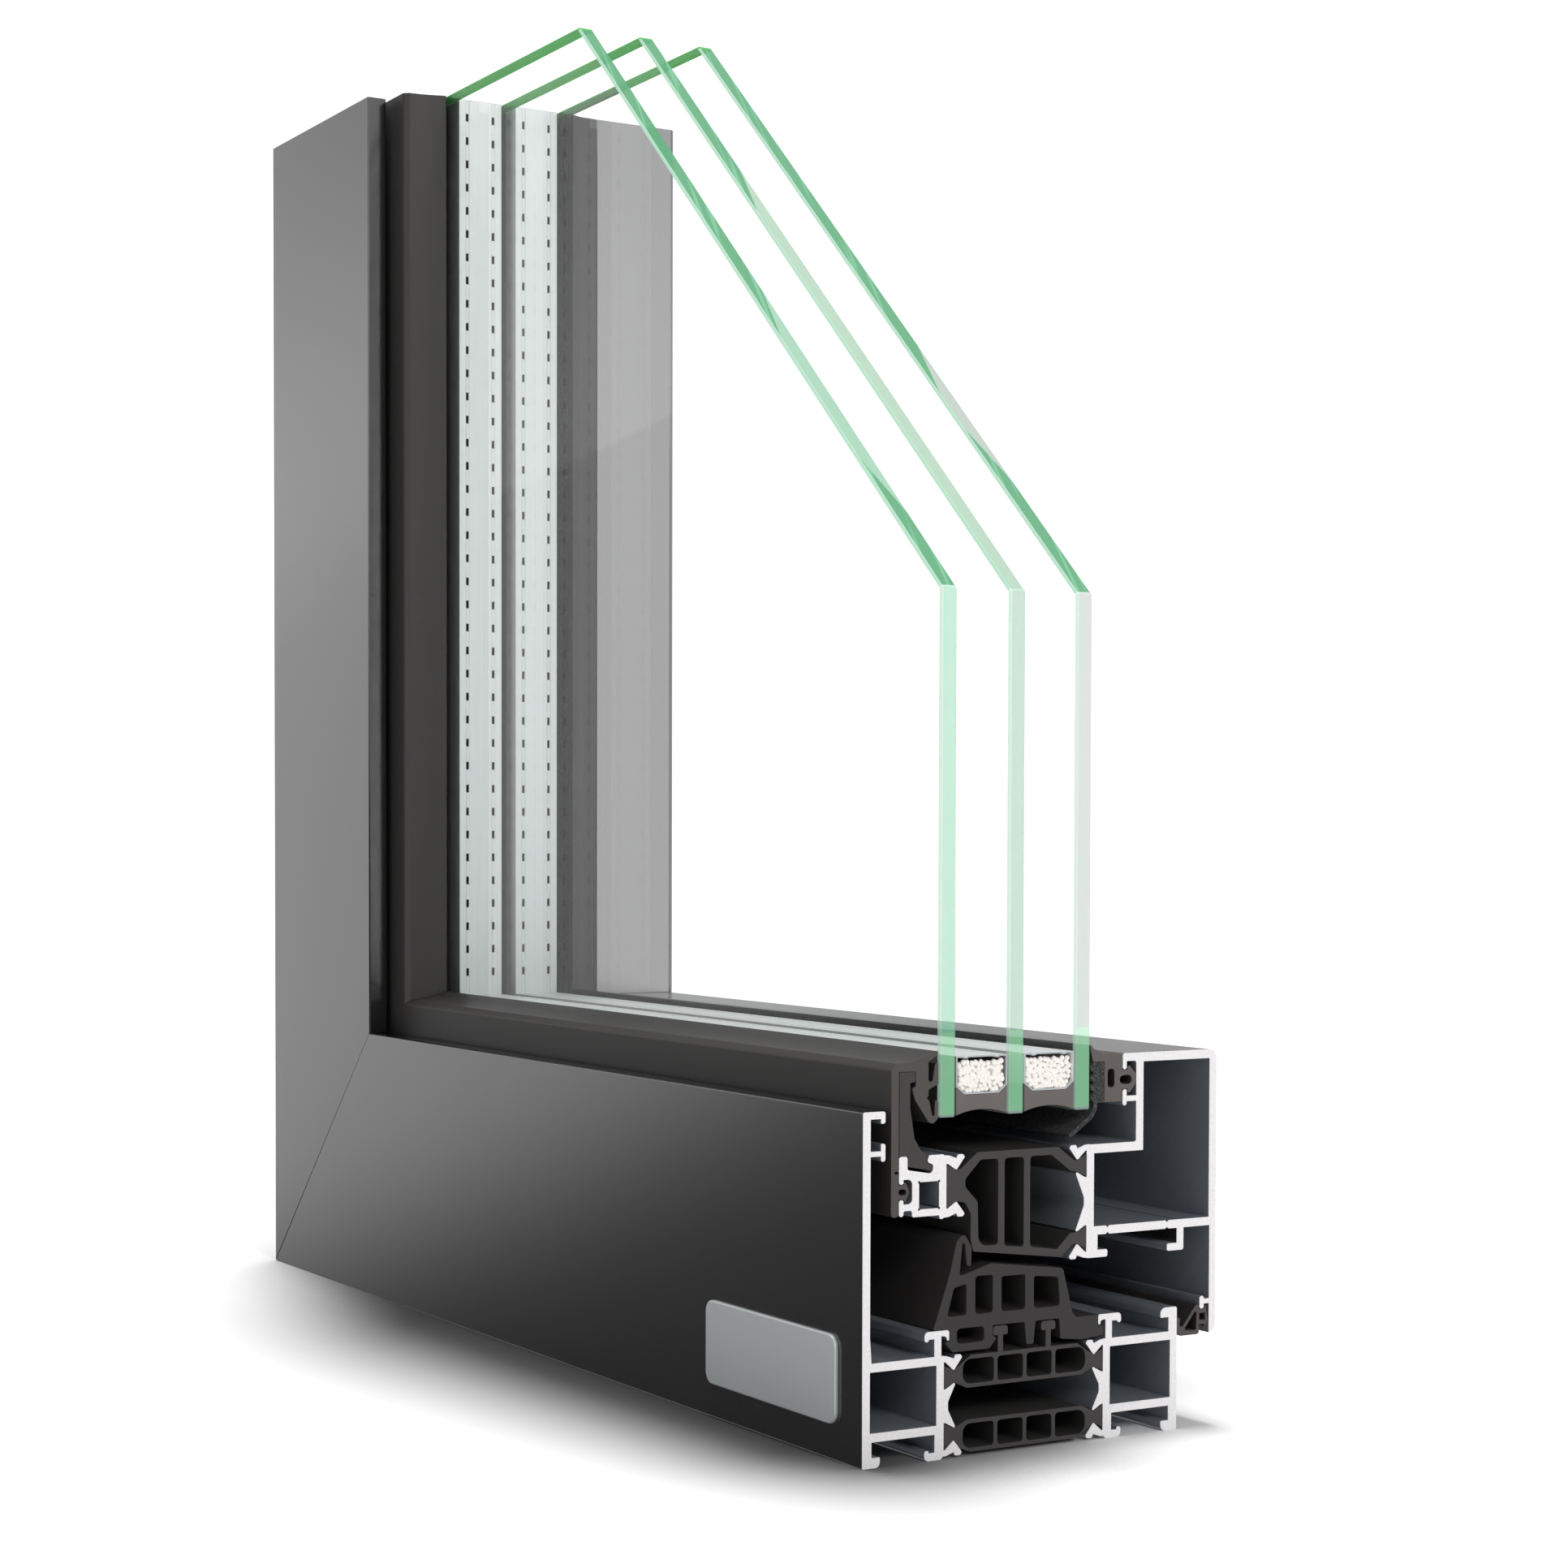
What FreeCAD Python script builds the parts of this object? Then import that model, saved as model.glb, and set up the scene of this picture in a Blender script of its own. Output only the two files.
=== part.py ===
import FreeCAD, Part
import math
import os

V = FreeCAD.Vector

# Corner sample of a thermally broken aluminium window, in millimetres.
# x runs along the sill from the outer edge of the jamb, y runs from the weather face to the
# room, z runs up the jamb from the outer edge of the sill. Sections are drawn as (y, z) points
# of the sill, and the jamb has the same section with x in the place of z.

# Whole sample
SILL_LENGTH = 306.0
JAMB_HEIGHT = 308.0
FRAME_DEPTH = 75.0
SASH_OVERHANG = 9.8
FACE_HEIGHT = 67.6

# Frame shells: a box with feet below, a ledge above and claws behind
SHELL_DEPTH = 18.5
SHELL_WALL = 1.7
BOX_BASE = 4.95
BOX_HEIGHT = 15.0
LEG_WALL = 2.1
TOE_DEPTH = 4.0
TOE_HEIGHT = 2.0
HEEL_DEPTH = 4.45
HEEL_HEIGHT = 1.5
HEEL_LIP = 1.0
LEDGE_RISE = 4.9
LEDGE_WALL = 1.5
LEDGE_STEM = 1.6
LEDGE_NOSE = 1.2
LEDGE_LIP = 0.55
POST_HEAD = 2.0
FACE_WALL = 1.7
FACE_HOOK = 5.0
HOOK_WALL = 1.0
HOOK_TOP_WALL = 1.4
HOOK_LIP = 2.3
CLIP_DROP = 7.5
TRUE_ROUND = 1.0
FLAT_STEP = 0.35

# Rolled-in joints between metal and plastic
LOWER_HEAD = 4.6
UPPER_HEAD = 15.8
HEAD_DEPTH = 2.4
HEAD_HALF = 2.2
NECK_HALF = 1.15
WIDE_HEAD_HALF = 4.1
WIDE_NECK_HALF = 3.0
CLAW_REACH = 1.85
CLAW_RISE = 2.9
ROLL_GAP = 0.1
FRAME_LAND = 1.0
SASH_LAND = 0.65

# Frame bars
BAR_INNER = 2.5
BAR_OUTER = 3.8
BAR_WALL = 0.75
BAR_WEB = 0.85
BAR_CHAMBERS = 4
BAR_PITCH = 6.9
TAPER = 3.9
POST_STEM = 1.2
POST_WIDTH = 3.4
POST_CAP = 1.75
POST_SHIFTS = (-5.8, 5.6)

# Sash shells
SASH_RISE = 11.4
SASH_FRONT = 8.1
SASH_OUTER_DEPTH = 10.8
SASH_OUTER_WALL = 1.65
RELIEF = 0.25
SASH_INNER_DEPTH = 32.55
INSULATOR_WEB = 1.5
SASH_WALL = 1.8
SASH_WEB_RISE = 4.5
REBATE_RISE = 22.5
SASH_HEIGHT = 40.25
UPRIGHT_BACK = 18.6
LIP_DROP = 17.4
SASH_HEAD_RISE = 4.2
SASH_HEAD_PITCH = 14.25
WIDE_HEAD_DROP = 2.15
GROOVE_DEPTH = 3.4
GROOVE_LIP = 1.0
GROOVE_MOUTH_LOW = 7.2
GROOVE_MOUTH_HIGH = 3.2
GROOVE_LIP_RISE = 3.2
HOOK_REACH = 5.2
HOOK_BACK = 8.15
LIP_DEPTH = 4.0
STOP_MOUTH_LOW = 1.8
STOP_MOUTH_HIGH = 5.05
BODY_DROP = 5.45
CROWN_RISE = 6.2
FOOT_DROP = 0.55
INSULATOR_SHOULDER = 3.3
GROOVE_FLOOR = 2.4

# Glass and its edge
PANE = 4.0
PANES = 3
ARRIS = 0.4
GLASS_SEAT = 8.9
GLASS_LIFT = 7.05
GLASS_BITE = 8.0
SPACER_WALL = 0.3
SPACER_RISE = 4.2
SPACER_HEIGHT = 7.4
SPACER_CHAMFER = 1.5
SEALANT_ARCH = 1.0
CUT_SILL_RISE = 167.0
CUT_HEAD_RUN = 153.0

# Soft pieces
SEAT_GAP = 0.05
GASKET_WEB = 2.15
DOME_ROUND = 0.8
COVER_WALL = 1.8
COVER_DROP = 5.3
BEAD_RISE = 9.0
FOAM_WIDTH = 3.5
FOAM_DROP = 1.5
FOAM_TEETH = 4
FIN = 0.9

# Corner cleats
CLEAT_GAP = 0.15
FRAME_CLEAT_LEG = 62.0
SASH_CLEAT_LEG = 110.0

# Lines that the sections share
BOX_TOP = BOX_BASE + BOX_HEIGHT
LEDGE = BOX_TOP + LEDGE_RISE
BAR_END = FRAME_DEPTH - SHELL_DEPTH
MIDDLE = FRAME_DEPTH / 2
SASH_BACK = FRAME_DEPTH + SASH_OVERHANG
SASH_BASE = LEDGE + SASH_RISE
SASH_TOP = SASH_BASE + SASH_HEIGHT
REBATE = SASH_BASE + REBATE_RISE
SASH_WEB = SASH_BASE + SASH_WEB_RISE
INNER_FACE = SASH_BACK - SASH_INNER_DEPTH
OUTER_BACK = SASH_FRONT + SASH_OUTER_DEPTH
SASH_LOWER_HEAD = SASH_BASE + SASH_HEAD_RISE
SASH_UPPER_HEAD = SASH_LOWER_HEAD + SASH_HEAD_PITCH
WIDE_HEAD = SASH_UPPER_HEAD - WIDE_HEAD_DROP
CROWN = WIDE_HEAD + CROWN_RISE
FOOT_GROOVE = WIDE_HEAD - FOOT_DROP
INSULATOR_FRONT = OUTER_BACK + HEAD_DEPTH + INSULATOR_SHOULDER
UPRIGHT = SASH_BACK - UPRIGHT_BACK - SASH_WALL
GROOVE_FRONT = UPRIGHT - GROOVE_DEPTH
GLASS_FRONT = SASH_FRONT + GLASS_SEAT
GLASS_BACK = GROOVE_FRONT - GLASS_BITE
CAVITY = (GLASS_BACK - GLASS_FRONT - PANES * PANE) / (PANES - 1)
GLASS_EDGE = REBATE + GLASS_LIFT
BEAD_TOP = GLASS_EDGE + BEAD_RISE
SPACER_BASE = GLASS_EDGE + SPACER_RISE
SPACER_TOP = SPACER_BASE + SPACER_HEIGHT


def turn(before, at, after, radius):
    """Edges that round one corner: an arc, or a few flats where the round is too small to see."""
    back = (before - at).normalize()
    on = (after - at).normalize()
    half = back.getAngle(on) / 2
    reach = radius / math.tan(half)
    middle = at + (back + on).normalize() * (radius / math.sin(half) - radius)
    arc = Part.Arc(at + back * reach, middle, at + on * reach)
    if radius >= TRUE_ROUND:
        return [arc.toShape()]
    flats = 1 + int(radius / FLAT_STEP)
    return Part.makePolygon(arc.discretize(flats + 1)).Edges


def rounded(points):
    """Closed wire through (y, z) or (y, z, radius) points, where a radius rounds its corner."""
    spots = [V(0, point[0], point[1]) for point in points]
    edges = []
    starts = []
    ends = []
    for i, at in enumerate(spots):
        radius = sum(points[i][2:])
        bends = turn(spots[i - 1], at, spots[(i + 1) % len(spots)], radius) if radius else []
        edges.extend(bends)
        starts.append(bends[0].Vertexes[0].Point if bends else at)
        ends.append(bends[-1].Vertexes[-1].Point if bends else at)
    for i, start in enumerate(starts):
        if ends[i - 1].distanceToPoint(start) > 1e-6:
            edges.append(Part.LineSegment(ends[i - 1], start).toShape())
    return Part.Wire(Part.sortEdges(edges)[0])


def face(outer, *holes):
    """Flat face inside one outline, less its holes."""
    wires = [rounded(outline) for outline in (outer,) + holes]
    return Part.makeFace(wires, "Part::FaceMakerBullseye")


def box(y0, z0, y1, z1, low_front=0, low_back=0, top_back=0, top_front=0):
    """Outline of an upright rectangle, each corner with its own round."""
    return [(y0, z0, low_front), (y1, z0, low_back), (y1, z1, top_back), (y0, z1, top_front)]


def join(*faces):
    """One face from faces that overlap or share an edge."""
    slabs = [piece.extrude(V(1, 0, 0)) for piece in faces]
    whole = slabs[0].fuse(slabs[1:]).removeSplitter()
    return [side for side in whole.Faces if side.BoundBox.XMax < 0.5][0]


def mirrored(section, middle):
    """Section turned about an upright line at one depth."""
    return section.mirror(V(0, middle, 0), V(0, 1, 0))


def leg(section, length):
    """Section drawn out along x, with a 45 degree cut where it meets the other leg."""
    bounds = section.BoundBox
    low = bounds.ZMin - 1
    high = bounds.ZMax + 1
    front = bounds.YMin - 1
    corners = [(low, low), (length, low), (length, high), (high, high), (low, low)]
    wedge = Part.Face(Part.makePolygon([V(x, front, z) for x, z in corners]))
    keep = wedge.extrude(V(0, bounds.YLength + 2, 0))
    return section.extrude(V(length, 0, 0)).common(keep).Solids[0]


def upright(section, length):
    """The same leg turned up along the jamb."""
    return leg(section, length).mirror(V(0, 0, 0), V(1, 0, -1))


def bent(section):
    """One piece that runs round the corner from sill to jamb."""
    whole = leg(section, SILL_LENGTH).fuse(upright(section, JAMB_HEIGHT))
    return whole.removeSplitter().Solids[0]


# Rolled-in joint: claws on the metal, a dovetail head on the plastic


def claw(back, centre, side, head, neck, relief):
    """Claw that closes on one side of a head, on a shell whose back is at one depth."""
    tip = neck + ROLL_GAP
    shape = [
        (-0.6, tip + CLAW_RISE),
        (0.6, tip + CLAW_RISE - 0.1),
        (HEAD_DEPTH - 0.1, tip + CLAW_RISE - 0.7),
        (HEAD_DEPTH + 0.25, tip + CLAW_RISE, 0.1),
        (HEAD_DEPTH + CLAW_REACH - 0.4, tip + CLAW_RISE, 0.15),
        (HEAD_DEPTH + CLAW_REACH, tip + CLAW_RISE - 0.55, 0.15),
        (HEAD_DEPTH, tip),
        (HEAD_DEPTH - 0.35, tip + 0.1),
        (0.3, head + relief),
        (-0.6, head + relief),
    ]
    return face([(back + depth, centre + side * rise) + tuple(r) for depth, rise, *r in shape])


def land(back, low, high, bottom):
    """Fixed lands between two heads, with a hollow between them."""
    tip = NECK_HALF + ROLL_GAP
    foot = HEAD_HALF + ROLL_GAP
    half = [(-0.6, foot), (0.4, foot + 0.05), (HEAD_DEPTH, tip), (HEAD_DEPTH + 0.25, tip + 0.3, 0.1)]
    upper = [(back + depth, high - rise) + tuple(r) for depth, rise, *r in half]
    lower = [(back + depth, low + rise) + tuple(r) for depth, rise, *r in half]
    middle = (low + high) / 2
    floor = [(back + bottom, middle + 0.8, 1.0), (back + bottom, middle - 0.8, 1.0)]
    return face(upper + floor + lower[::-1])


def head(back, centre, half, neck, reach):
    """Dovetail head of a plastic piece, drawn past its neck by some reach."""
    foot = back + SEAT_GAP
    throat = back + HEAD_DEPTH
    low = [(foot, centre - half), (throat, centre - neck), (throat + reach, centre - neck)]
    high = [(throat + reach, centre + neck), (throat, centre + neck), (foot, centre + half)]
    return face(low + high)


# Frame


def frame_shell():
    """What both frame shells share, seen from the visible face at depth 0."""
    stem_back = SHELL_DEPTH - HEAD_DEPTH / 4
    stem_front = stem_back - LEDGE_STEM
    heel = SHELL_DEPTH - LEG_WALL
    heel_tip = SHELL_DEPTH - HEEL_DEPTH
    ledge_tip = SHELL_DEPTH - HEEL_DEPTH
    nose = SHELL_DEPTH + LEDGE_NOSE
    under = LEDGE - LEDGE_WALL
    chamber = box(SHELL_WALL, BOX_BASE + SHELL_WALL, SHELL_DEPTH - SHELL_WALL, BOX_TOP - SHELL_WALL)
    return join(
        face(box(0, BOX_BASE, SHELL_DEPTH, BOX_TOP), chamber),
        face(box(0, 0, LEG_WALL, BOX_BASE, 0.2)),
        face(box(0, 0, TOE_DEPTH, TOE_HEIGHT, 0.2, 1.1, 0.15)),
        face([(heel, 0), (stem_back, 0, 0.3), (SHELL_DEPTH, 0.8, 0.5), (SHELL_DEPTH, BOX_BASE),
              (heel, BOX_BASE)]),
        face(box(heel_tip, 0, SHELL_DEPTH - 1, HEEL_HEIGHT, 0.9)),
        face(box(heel_tip, HEEL_HEIGHT / 2, heel_tip + HEEL_LIP, HEEL_HEIGHT + 0.5, 0, 0, 0.15, 0.3)),
        face(box(stem_front, BOX_TOP, stem_back, LEDGE - LEDGE_WALL / 2)),
        face(box(ledge_tip, under, stem_back, LEDGE, 0, 0, 0, 0.8)),
        face(box(ledge_tip, under - 0.45, ledge_tip + HEEL_LIP, under + 0.2, 0.3, 0.3)),
        face(box(stem_front, LEDGE - 1.0, nose, LEDGE, 0, 0, 0.3)),
        face([(nose - LEDGE_LIP, under - 0.5, 0.15), (nose, under - 0.5, 0.15), (nose, LEDGE - 0.5),
              (stem_back, LEDGE - 0.5), (stem_back, under + 0.4), (nose - LEDGE_LIP - 0.6, under + 0.4, 0.5),
              (nose - LEDGE_LIP, under + 0.1)]),
        claw(SHELL_DEPTH, LOWER_HEAD, -1, HEAD_HALF, NECK_HALF, 0.7),
        claw(SHELL_DEPTH, UPPER_HEAD, 1, HEAD_HALF, NECK_HALF, 0.7),
        land(SHELL_DEPTH, LOWER_HEAD, UPPER_HEAD, FRAME_LAND),
    )


def frame_outer_shell():
    """Weather shell, whose face wall stands up in front of the sash."""
    hook = FACE_HOOK
    clip = FACE_HEIGHT - CLIP_DROP
    slot = hook - HOOK_WALL
    return join(
        frame_shell(),
        face([(0, BOX_TOP), (FACE_WALL + 0.35, BOX_TOP), (FACE_WALL, LEDGE), (FACE_WALL, FACE_HEIGHT),
              (0, FACE_HEIGHT, 0.3)]),
        face(box(0, FACE_HEIGHT - HOOK_TOP_WALL, hook, FACE_HEIGHT, 0, 0, 0.4, 0.3)),
        face(box(slot, FACE_HEIGHT - HOOK_LIP, hook, FACE_HEIGHT - 0.5, 0.1, 0.4)),
        face(box(0, clip - HOOK_WALL, hook, clip)),
        face(box(slot, clip - 2 * HOOK_WALL, hook, clip + 1.4, 0.4, 0.4, 0.4, 0.1)),
    )


def frame_inner_shell():
    """Room shell, whose post ends in a head that the sash closes against."""
    head_tip = TOE_DEPTH + 0.15
    return join(
        mirrored(frame_shell(), MIDDLE),
        face(box(FRAME_DEPTH - LEG_WALL, BOX_TOP, FRAME_DEPTH, LEDGE, 0, 0, 0.3)),
        face(box(FRAME_DEPTH - head_tip, LEDGE - POST_HEAD, FRAME_DEPTH, LEDGE, 0.15, 0, 0.3, 1.2)),
    )


def bar(centre, side):
    """Chambered plastic bar between the frame shells, its thick side away from the land."""
    inner = centre - side * BAR_INNER
    outer = centre + side * BAR_OUTER
    near = centre - side * NECK_HALF
    far = centre + side * NECK_HALF
    start = SHELL_DEPTH + HEAD_DEPTH
    body = [
        (start, near),
        (start + 2.9, inner),
        (FRAME_DEPTH - start - 2.9, inner),
        (FRAME_DEPTH - start, near),
        (FRAME_DEPTH - start, far),
        (FRAME_DEPTH - start - TAPER, outer),
        (start + TAPER, outer),
        (start, far),
    ]
    floor = min(inner, outer) + BAR_WALL
    roof = max(inner, outer) - BAR_WALL
    webs = [MIDDLE + (i - BAR_CHAMBERS / 2) * BAR_PITCH for i in range(1, BAR_CHAMBERS)]
    fronts = [start + 2.0] + [web + BAR_WEB / 2 for web in webs]
    backs = [web - BAR_WEB / 2 for web in webs] + [FRAME_DEPTH - start - 2.0]
    cells = []
    for front, back in zip(fronts, backs):
        round_front = 1.8 if front == fronts[0] else 0.7
        round_back = 1.8 if back == backs[-1] else 0.7
        cells.append(box(front, floor, back, roof, round_front, round_back, round_back, round_front))
    first_head = head(SHELL_DEPTH, centre, HEAD_HALF, NECK_HALF, 0.5)
    return join(face(body, *cells), first_head, mirrored(first_head, MIDDLE))


def frame_lower_bar():
    return bar(LOWER_HEAD, -1)


def frame_upper_bar():
    """Upper bar, with two posts that the centre gasket clips on."""
    section = bar(UPPER_HEAD, 1)
    roof = UPPER_HEAD + BAR_OUTER
    cap = LEDGE - 4 * SEAT_GAP
    for shift in POST_SHIFTS:
        post = MIDDLE + shift
        half = POST_WIDTH / 2
        stem = face(box(post - POST_STEM / 2, roof - BAR_WALL / 2, post + POST_STEM / 2, cap - POST_CAP / 2))
        crown = face(box(post - half, cap - POST_CAP, post + half, cap, 0.2, 0.2, 0.5, 0.5))
        section = join(section, stem, crown)
    return section


def centre_gasket():
    """Centre gasket: feet under both ledges, a finger between the posts and a hollow dome."""
    seat = LEDGE + SEAT_GAP
    nose = SHELL_DEPTH + LEDGE_NOSE + SEAT_GAP
    back = FRAME_DEPTH - nose
    under = LEDGE - LEDGE_WALL - 0.5 - SEAT_GAP
    left_post = MIDDLE + POST_SHIFTS[0] - POST_WIDTH / 2 - SEAT_GAP
    right_post = MIDDLE + POST_SHIFTS[-1] + POST_WIDTH / 2 + SEAT_GAP
    floor = UPPER_HEAD + BAR_OUTER + 0.8
    crown = SASH_BASE + 0.75
    wall = INSULATOR_FRONT
    second_web = MIDDLE + POST_SHIFTS[0] - 0.8
    first_web = (nose + second_web) / 2 - 0.6
    third_web = MIDDLE + 1.1
    outline = [
        (nose - 3.8, seat, 0.2),
        (nose - 1.6, seat + 6.1),
        (wall - 4.7, crown - 1.0),
        (wall - 3.25, crown + 4.8, DOME_ROUND),
        (wall - 1.45, crown + 6.3, DOME_ROUND),
        (wall + 0.35, crown + 3.4, 0.5),
        (wall + 0.15, crown - 0.6, 0.4),
        (wall - 0.85, crown + 0.05),
        (wall - 1.35, crown + 4.25, 0.2),
        (wall - 1.85, crown + 4.25, 0.2),
        (wall - 2.5, crown - 2.0, 0.4),
        (second_web - 1.5, crown, 1.0),
        (right_post + 1.8, crown - 2.2, 1.0),
        (right_post + 4.2, seat + 0.8, 0.4),
        (right_post + 5.1, LEDGE),
        (back, LEDGE),
        (back, under),
        (back + 1.4, under - 0.2, 0.2),
        (back + 1.4, floor + 0.3, 0.6),
        (back - 3.3, floor - 0.2),
        (right_post + 1.2, floor + 0.4, 0.4),
        (right_post + 0.9, LEDGE, 0.2),
        (MIDDLE + 2.6, LEDGE, 0.4),
        (MIDDLE + 2.1, floor, 0.3),
        (MIDDLE + 0.4, floor, 0.3),
        (MIDDLE - 0.1, LEDGE, 0.2),
        (left_post, LEDGE),
        (left_post, under + 0.1),
        (left_post + 0.9, under - 0.5, 0.1),
        (left_post - 0.8, floor),
        (nose + 0.8, floor),
        (nose - 1.1, under - 0.4, 0.2),
        (nose, under),
        (nose, seat),
    ]
    foot = box(nose + 1.8, floor + 1.6, left_post - 2.1, seat - 0.05, 0.8, 0.8, 0.8, 0.8)
    base = seat + 2.5
    half = GASKET_WEB / 2
    left = first_web - half
    right = third_web + half
    cells = [
        [(nose - 0.5, base, 0.4), (left, base, 0.6), (left, crown - 3.6, 0.4),
         (nose + 1.1, crown - 4.2, 0.4)],
        box(first_web + half, base, second_web - half, crown - 2.3, 0.7, 0.7, 0.4, 0.7),
        box(second_web + half, base, third_web - half, crown - 2.8, 0.7, 0.7, 0.4, 0.4),
        [(right, base, 0.7), (right_post + 1.0, base, 0.7), (right_post + 0.6, crown - 3.9, 0.7),
         (right, crown - 3.3, 0.4)],
    ]
    return face(outline, foot, *cells)


# Sash


def sash_outer_shell():
    """Weather shell of the sash: a gasket groove, a small chamber and the bead's hook."""
    front = SASH_FRONT
    back = OUTER_BACK
    block = front + 3.0
    crown = CROWN
    base = WIDE_HEAD - BODY_DROP
    groove = FOOT_GROOVE
    body = [
        (front, base + 0.25, 0.3),
        (front + GROOVE_LIP, base + 0.25, 0.3),
        (front + GROOVE_LIP, base + 1.3, 0.3),
        (block - 0.05, base + 1.3, 0.3),
        (block - 0.05, base, 0.3),
        (back - 1.6, base),
        (back - 1.6, base - 0.75, 0.3),
        (back - 0.55, base - 0.75, 0.3),
        (back - 0.55, base),
        (back, base),
        (back, crown - 0.5),
        (back - 0.5, crown - 0.5),
        (back - 0.5, crown, 0.2),
        (back - 4.0, crown, 0.4),
        (back - 4.4, crown - 1.3, 0.3),
        (back - 3.0, crown - 1.85, 0.4),
        (back - 3.2, crown - 3.6, 0.8),
        (front + 1.9, crown - 2.6, 0.3),
        (front + 1.9, crown, 0.3),
        (front, crown, 0.3),
        (front, groove + 1.5, 0.3),
        (front + GROOVE_LIP, groove + 1.5, 0.2),
        (front + GROOVE_LIP, groove + 2.35),
        (block, groove + 2.35, 1.0),
        (block, groove - 2.35, 1.0),
        (front + GROOVE_LIP, groove - 2.35),
        (front + GROOVE_LIP, groove - 1.5, 0.2),
        (front, groove - 1.5, 0.3),
    ]
    y0 = block + 1.55
    y1 = back - SASH_OUTER_WALL
    z0 = base + 1.4
    z1 = WIDE_HEAD + 1.15
    section = join(
        face(body, box(y0, z0, y1, z1)),
        claw(back, WIDE_HEAD, 1, WIDE_HEAD_HALF, WIDE_NECK_HALF, 0.2),
        claw(back, WIDE_HEAD, -1, WIDE_HEAD_HALF, WIDE_NECK_HALF, 0.2),
    )
    for y, z in ((y0, z0), (y0, z1), (y1, z0), (y1, z1)):
        relief = face(box(y - RELIEF, z - RELIEF, y + RELIEF, z + RELIEF, 0.15, 0.15, 0.15, 0.15))
        section = section.cut(relief).Faces[0]
    return section


def sash_inner_shell():
    """Room shell of the sash: chamber, hardware groove, glazing groove and overlap lip."""
    web_low = SASH_WEB
    web_top = SASH_WEB + SHELL_WALL
    back = SASH_BACK
    room = back - SASH_WALL
    rebate_floor = REBATE - SASH_WALL
    upright_back = UPRIGHT + SASH_WALL
    outer = [
        (INNER_FACE, SASH_BASE + 1),
        (INNER_FACE + 2.75, SASH_BASE + 1),
        (INNER_FACE + 2.75, web_low),
        (back, web_low),
        (back, SASH_TOP, 1.8),
        (GROOVE_FRONT, SASH_TOP, 0.5),
        (GROOVE_FRONT, SASH_TOP - SASH_WALL + 0.2),
        (UPRIGHT, SASH_TOP - SASH_WALL + 0.2, 0.3),
        (UPRIGHT, REBATE, 0.3),
        (INNER_FACE, REBATE),
    ]
    chamber = [
        (INNER_FACE + SASH_WALL, web_top),
        (room, web_top),
        (room, SASH_TOP - SASH_WALL),
        (upright_back, SASH_TOP - SASH_WALL),
        (upright_back, rebate_floor),
        (INNER_FACE + SASH_WALL, rebate_floor),
    ]
    lip_base = SASH_BASE - LIP_DROP
    groove_mouth = SASH_TOP - GROOVE_MOUTH_LOW
    groove_lip = GROOVE_FRONT + GROOVE_LIP
    lip = back - LIP_DEPTH
    hook = back - HOOK_BACK - SASH_WALL
    notches = []
    for depth in (INNER_FACE + HOOK_REACH, hook - 2.5):
        for rim, turn in ((web_top, -1), (web_low, 1)):
            notches.append(face([(depth - 0.45, rim), (depth, rim + turn * 0.4), (depth + 0.45, rim)]))
    mirror_claws = (
        claw(0, SASH_UPPER_HEAD, 1, HEAD_HALF, NECK_HALF, 0.7),
        claw(0, SASH_LOWER_HEAD, -1, HEAD_HALF, NECK_HALF, 0.7),
        land(0, SASH_LOWER_HEAD, SASH_UPPER_HEAD, SASH_LAND),
    )
    whole = join(
        face(outer, chamber),
        face(box(INNER_FACE, SASH_BASE, INNER_FACE + HOOK_REACH, SASH_BASE + 1.5, 0.3, 0.3, 0.3)),
        face(box(hook, SASH_BASE, hook + SHELL_WALL, web_low, 0, 0.3)),
        face(box(hook - 2.5, SASH_BASE, hook + SHELL_WALL, SASH_BASE + 1.5, 0.3, 0.3, 0, 0.3)),
        face(box(GROOVE_FRONT, SASH_TOP - GROOVE_MOUTH_HIGH, groove_lip, SASH_TOP - 0.6, 0.3, 0.3)),
        face(box(GROOVE_FRONT, groove_mouth - GROOVE_LIP_RISE, groove_lip, groove_mouth, 0.3, 0.3, 0.2, 0.3)),
        face(box(GROOVE_FRONT + 0.5, groove_mouth - GROOVE_FLOOR, UPRIGHT + 0.5, groove_mouth - 1.3)),
        face(box(back - 1.6, lip_base, back, web_low + 1, 0, 1.7)),
        face(box(lip, lip_base, back - 1.7, lip_base + 1.0, 0.3)),
        face(box(lip, lip_base, lip + 1.1, lip_base + STOP_MOUTH_LOW, 0.3, 0, 0.4, 0.4)),
        face(box(lip, lip_base + 6.0, back - 1, lip_base + 7.0)),
        face(box(lip, lip_base + STOP_MOUTH_HIGH, lip + 1.1, lip_base + 7.6, 0.4, 0.4, 0.3, 0.3)),
        *[mirrored(piece, INNER_FACE / 2) for piece in mirror_claws],
    )
    for notch in notches:
        whole = whole.cut(notch).Faces[0]
    return whole


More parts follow.
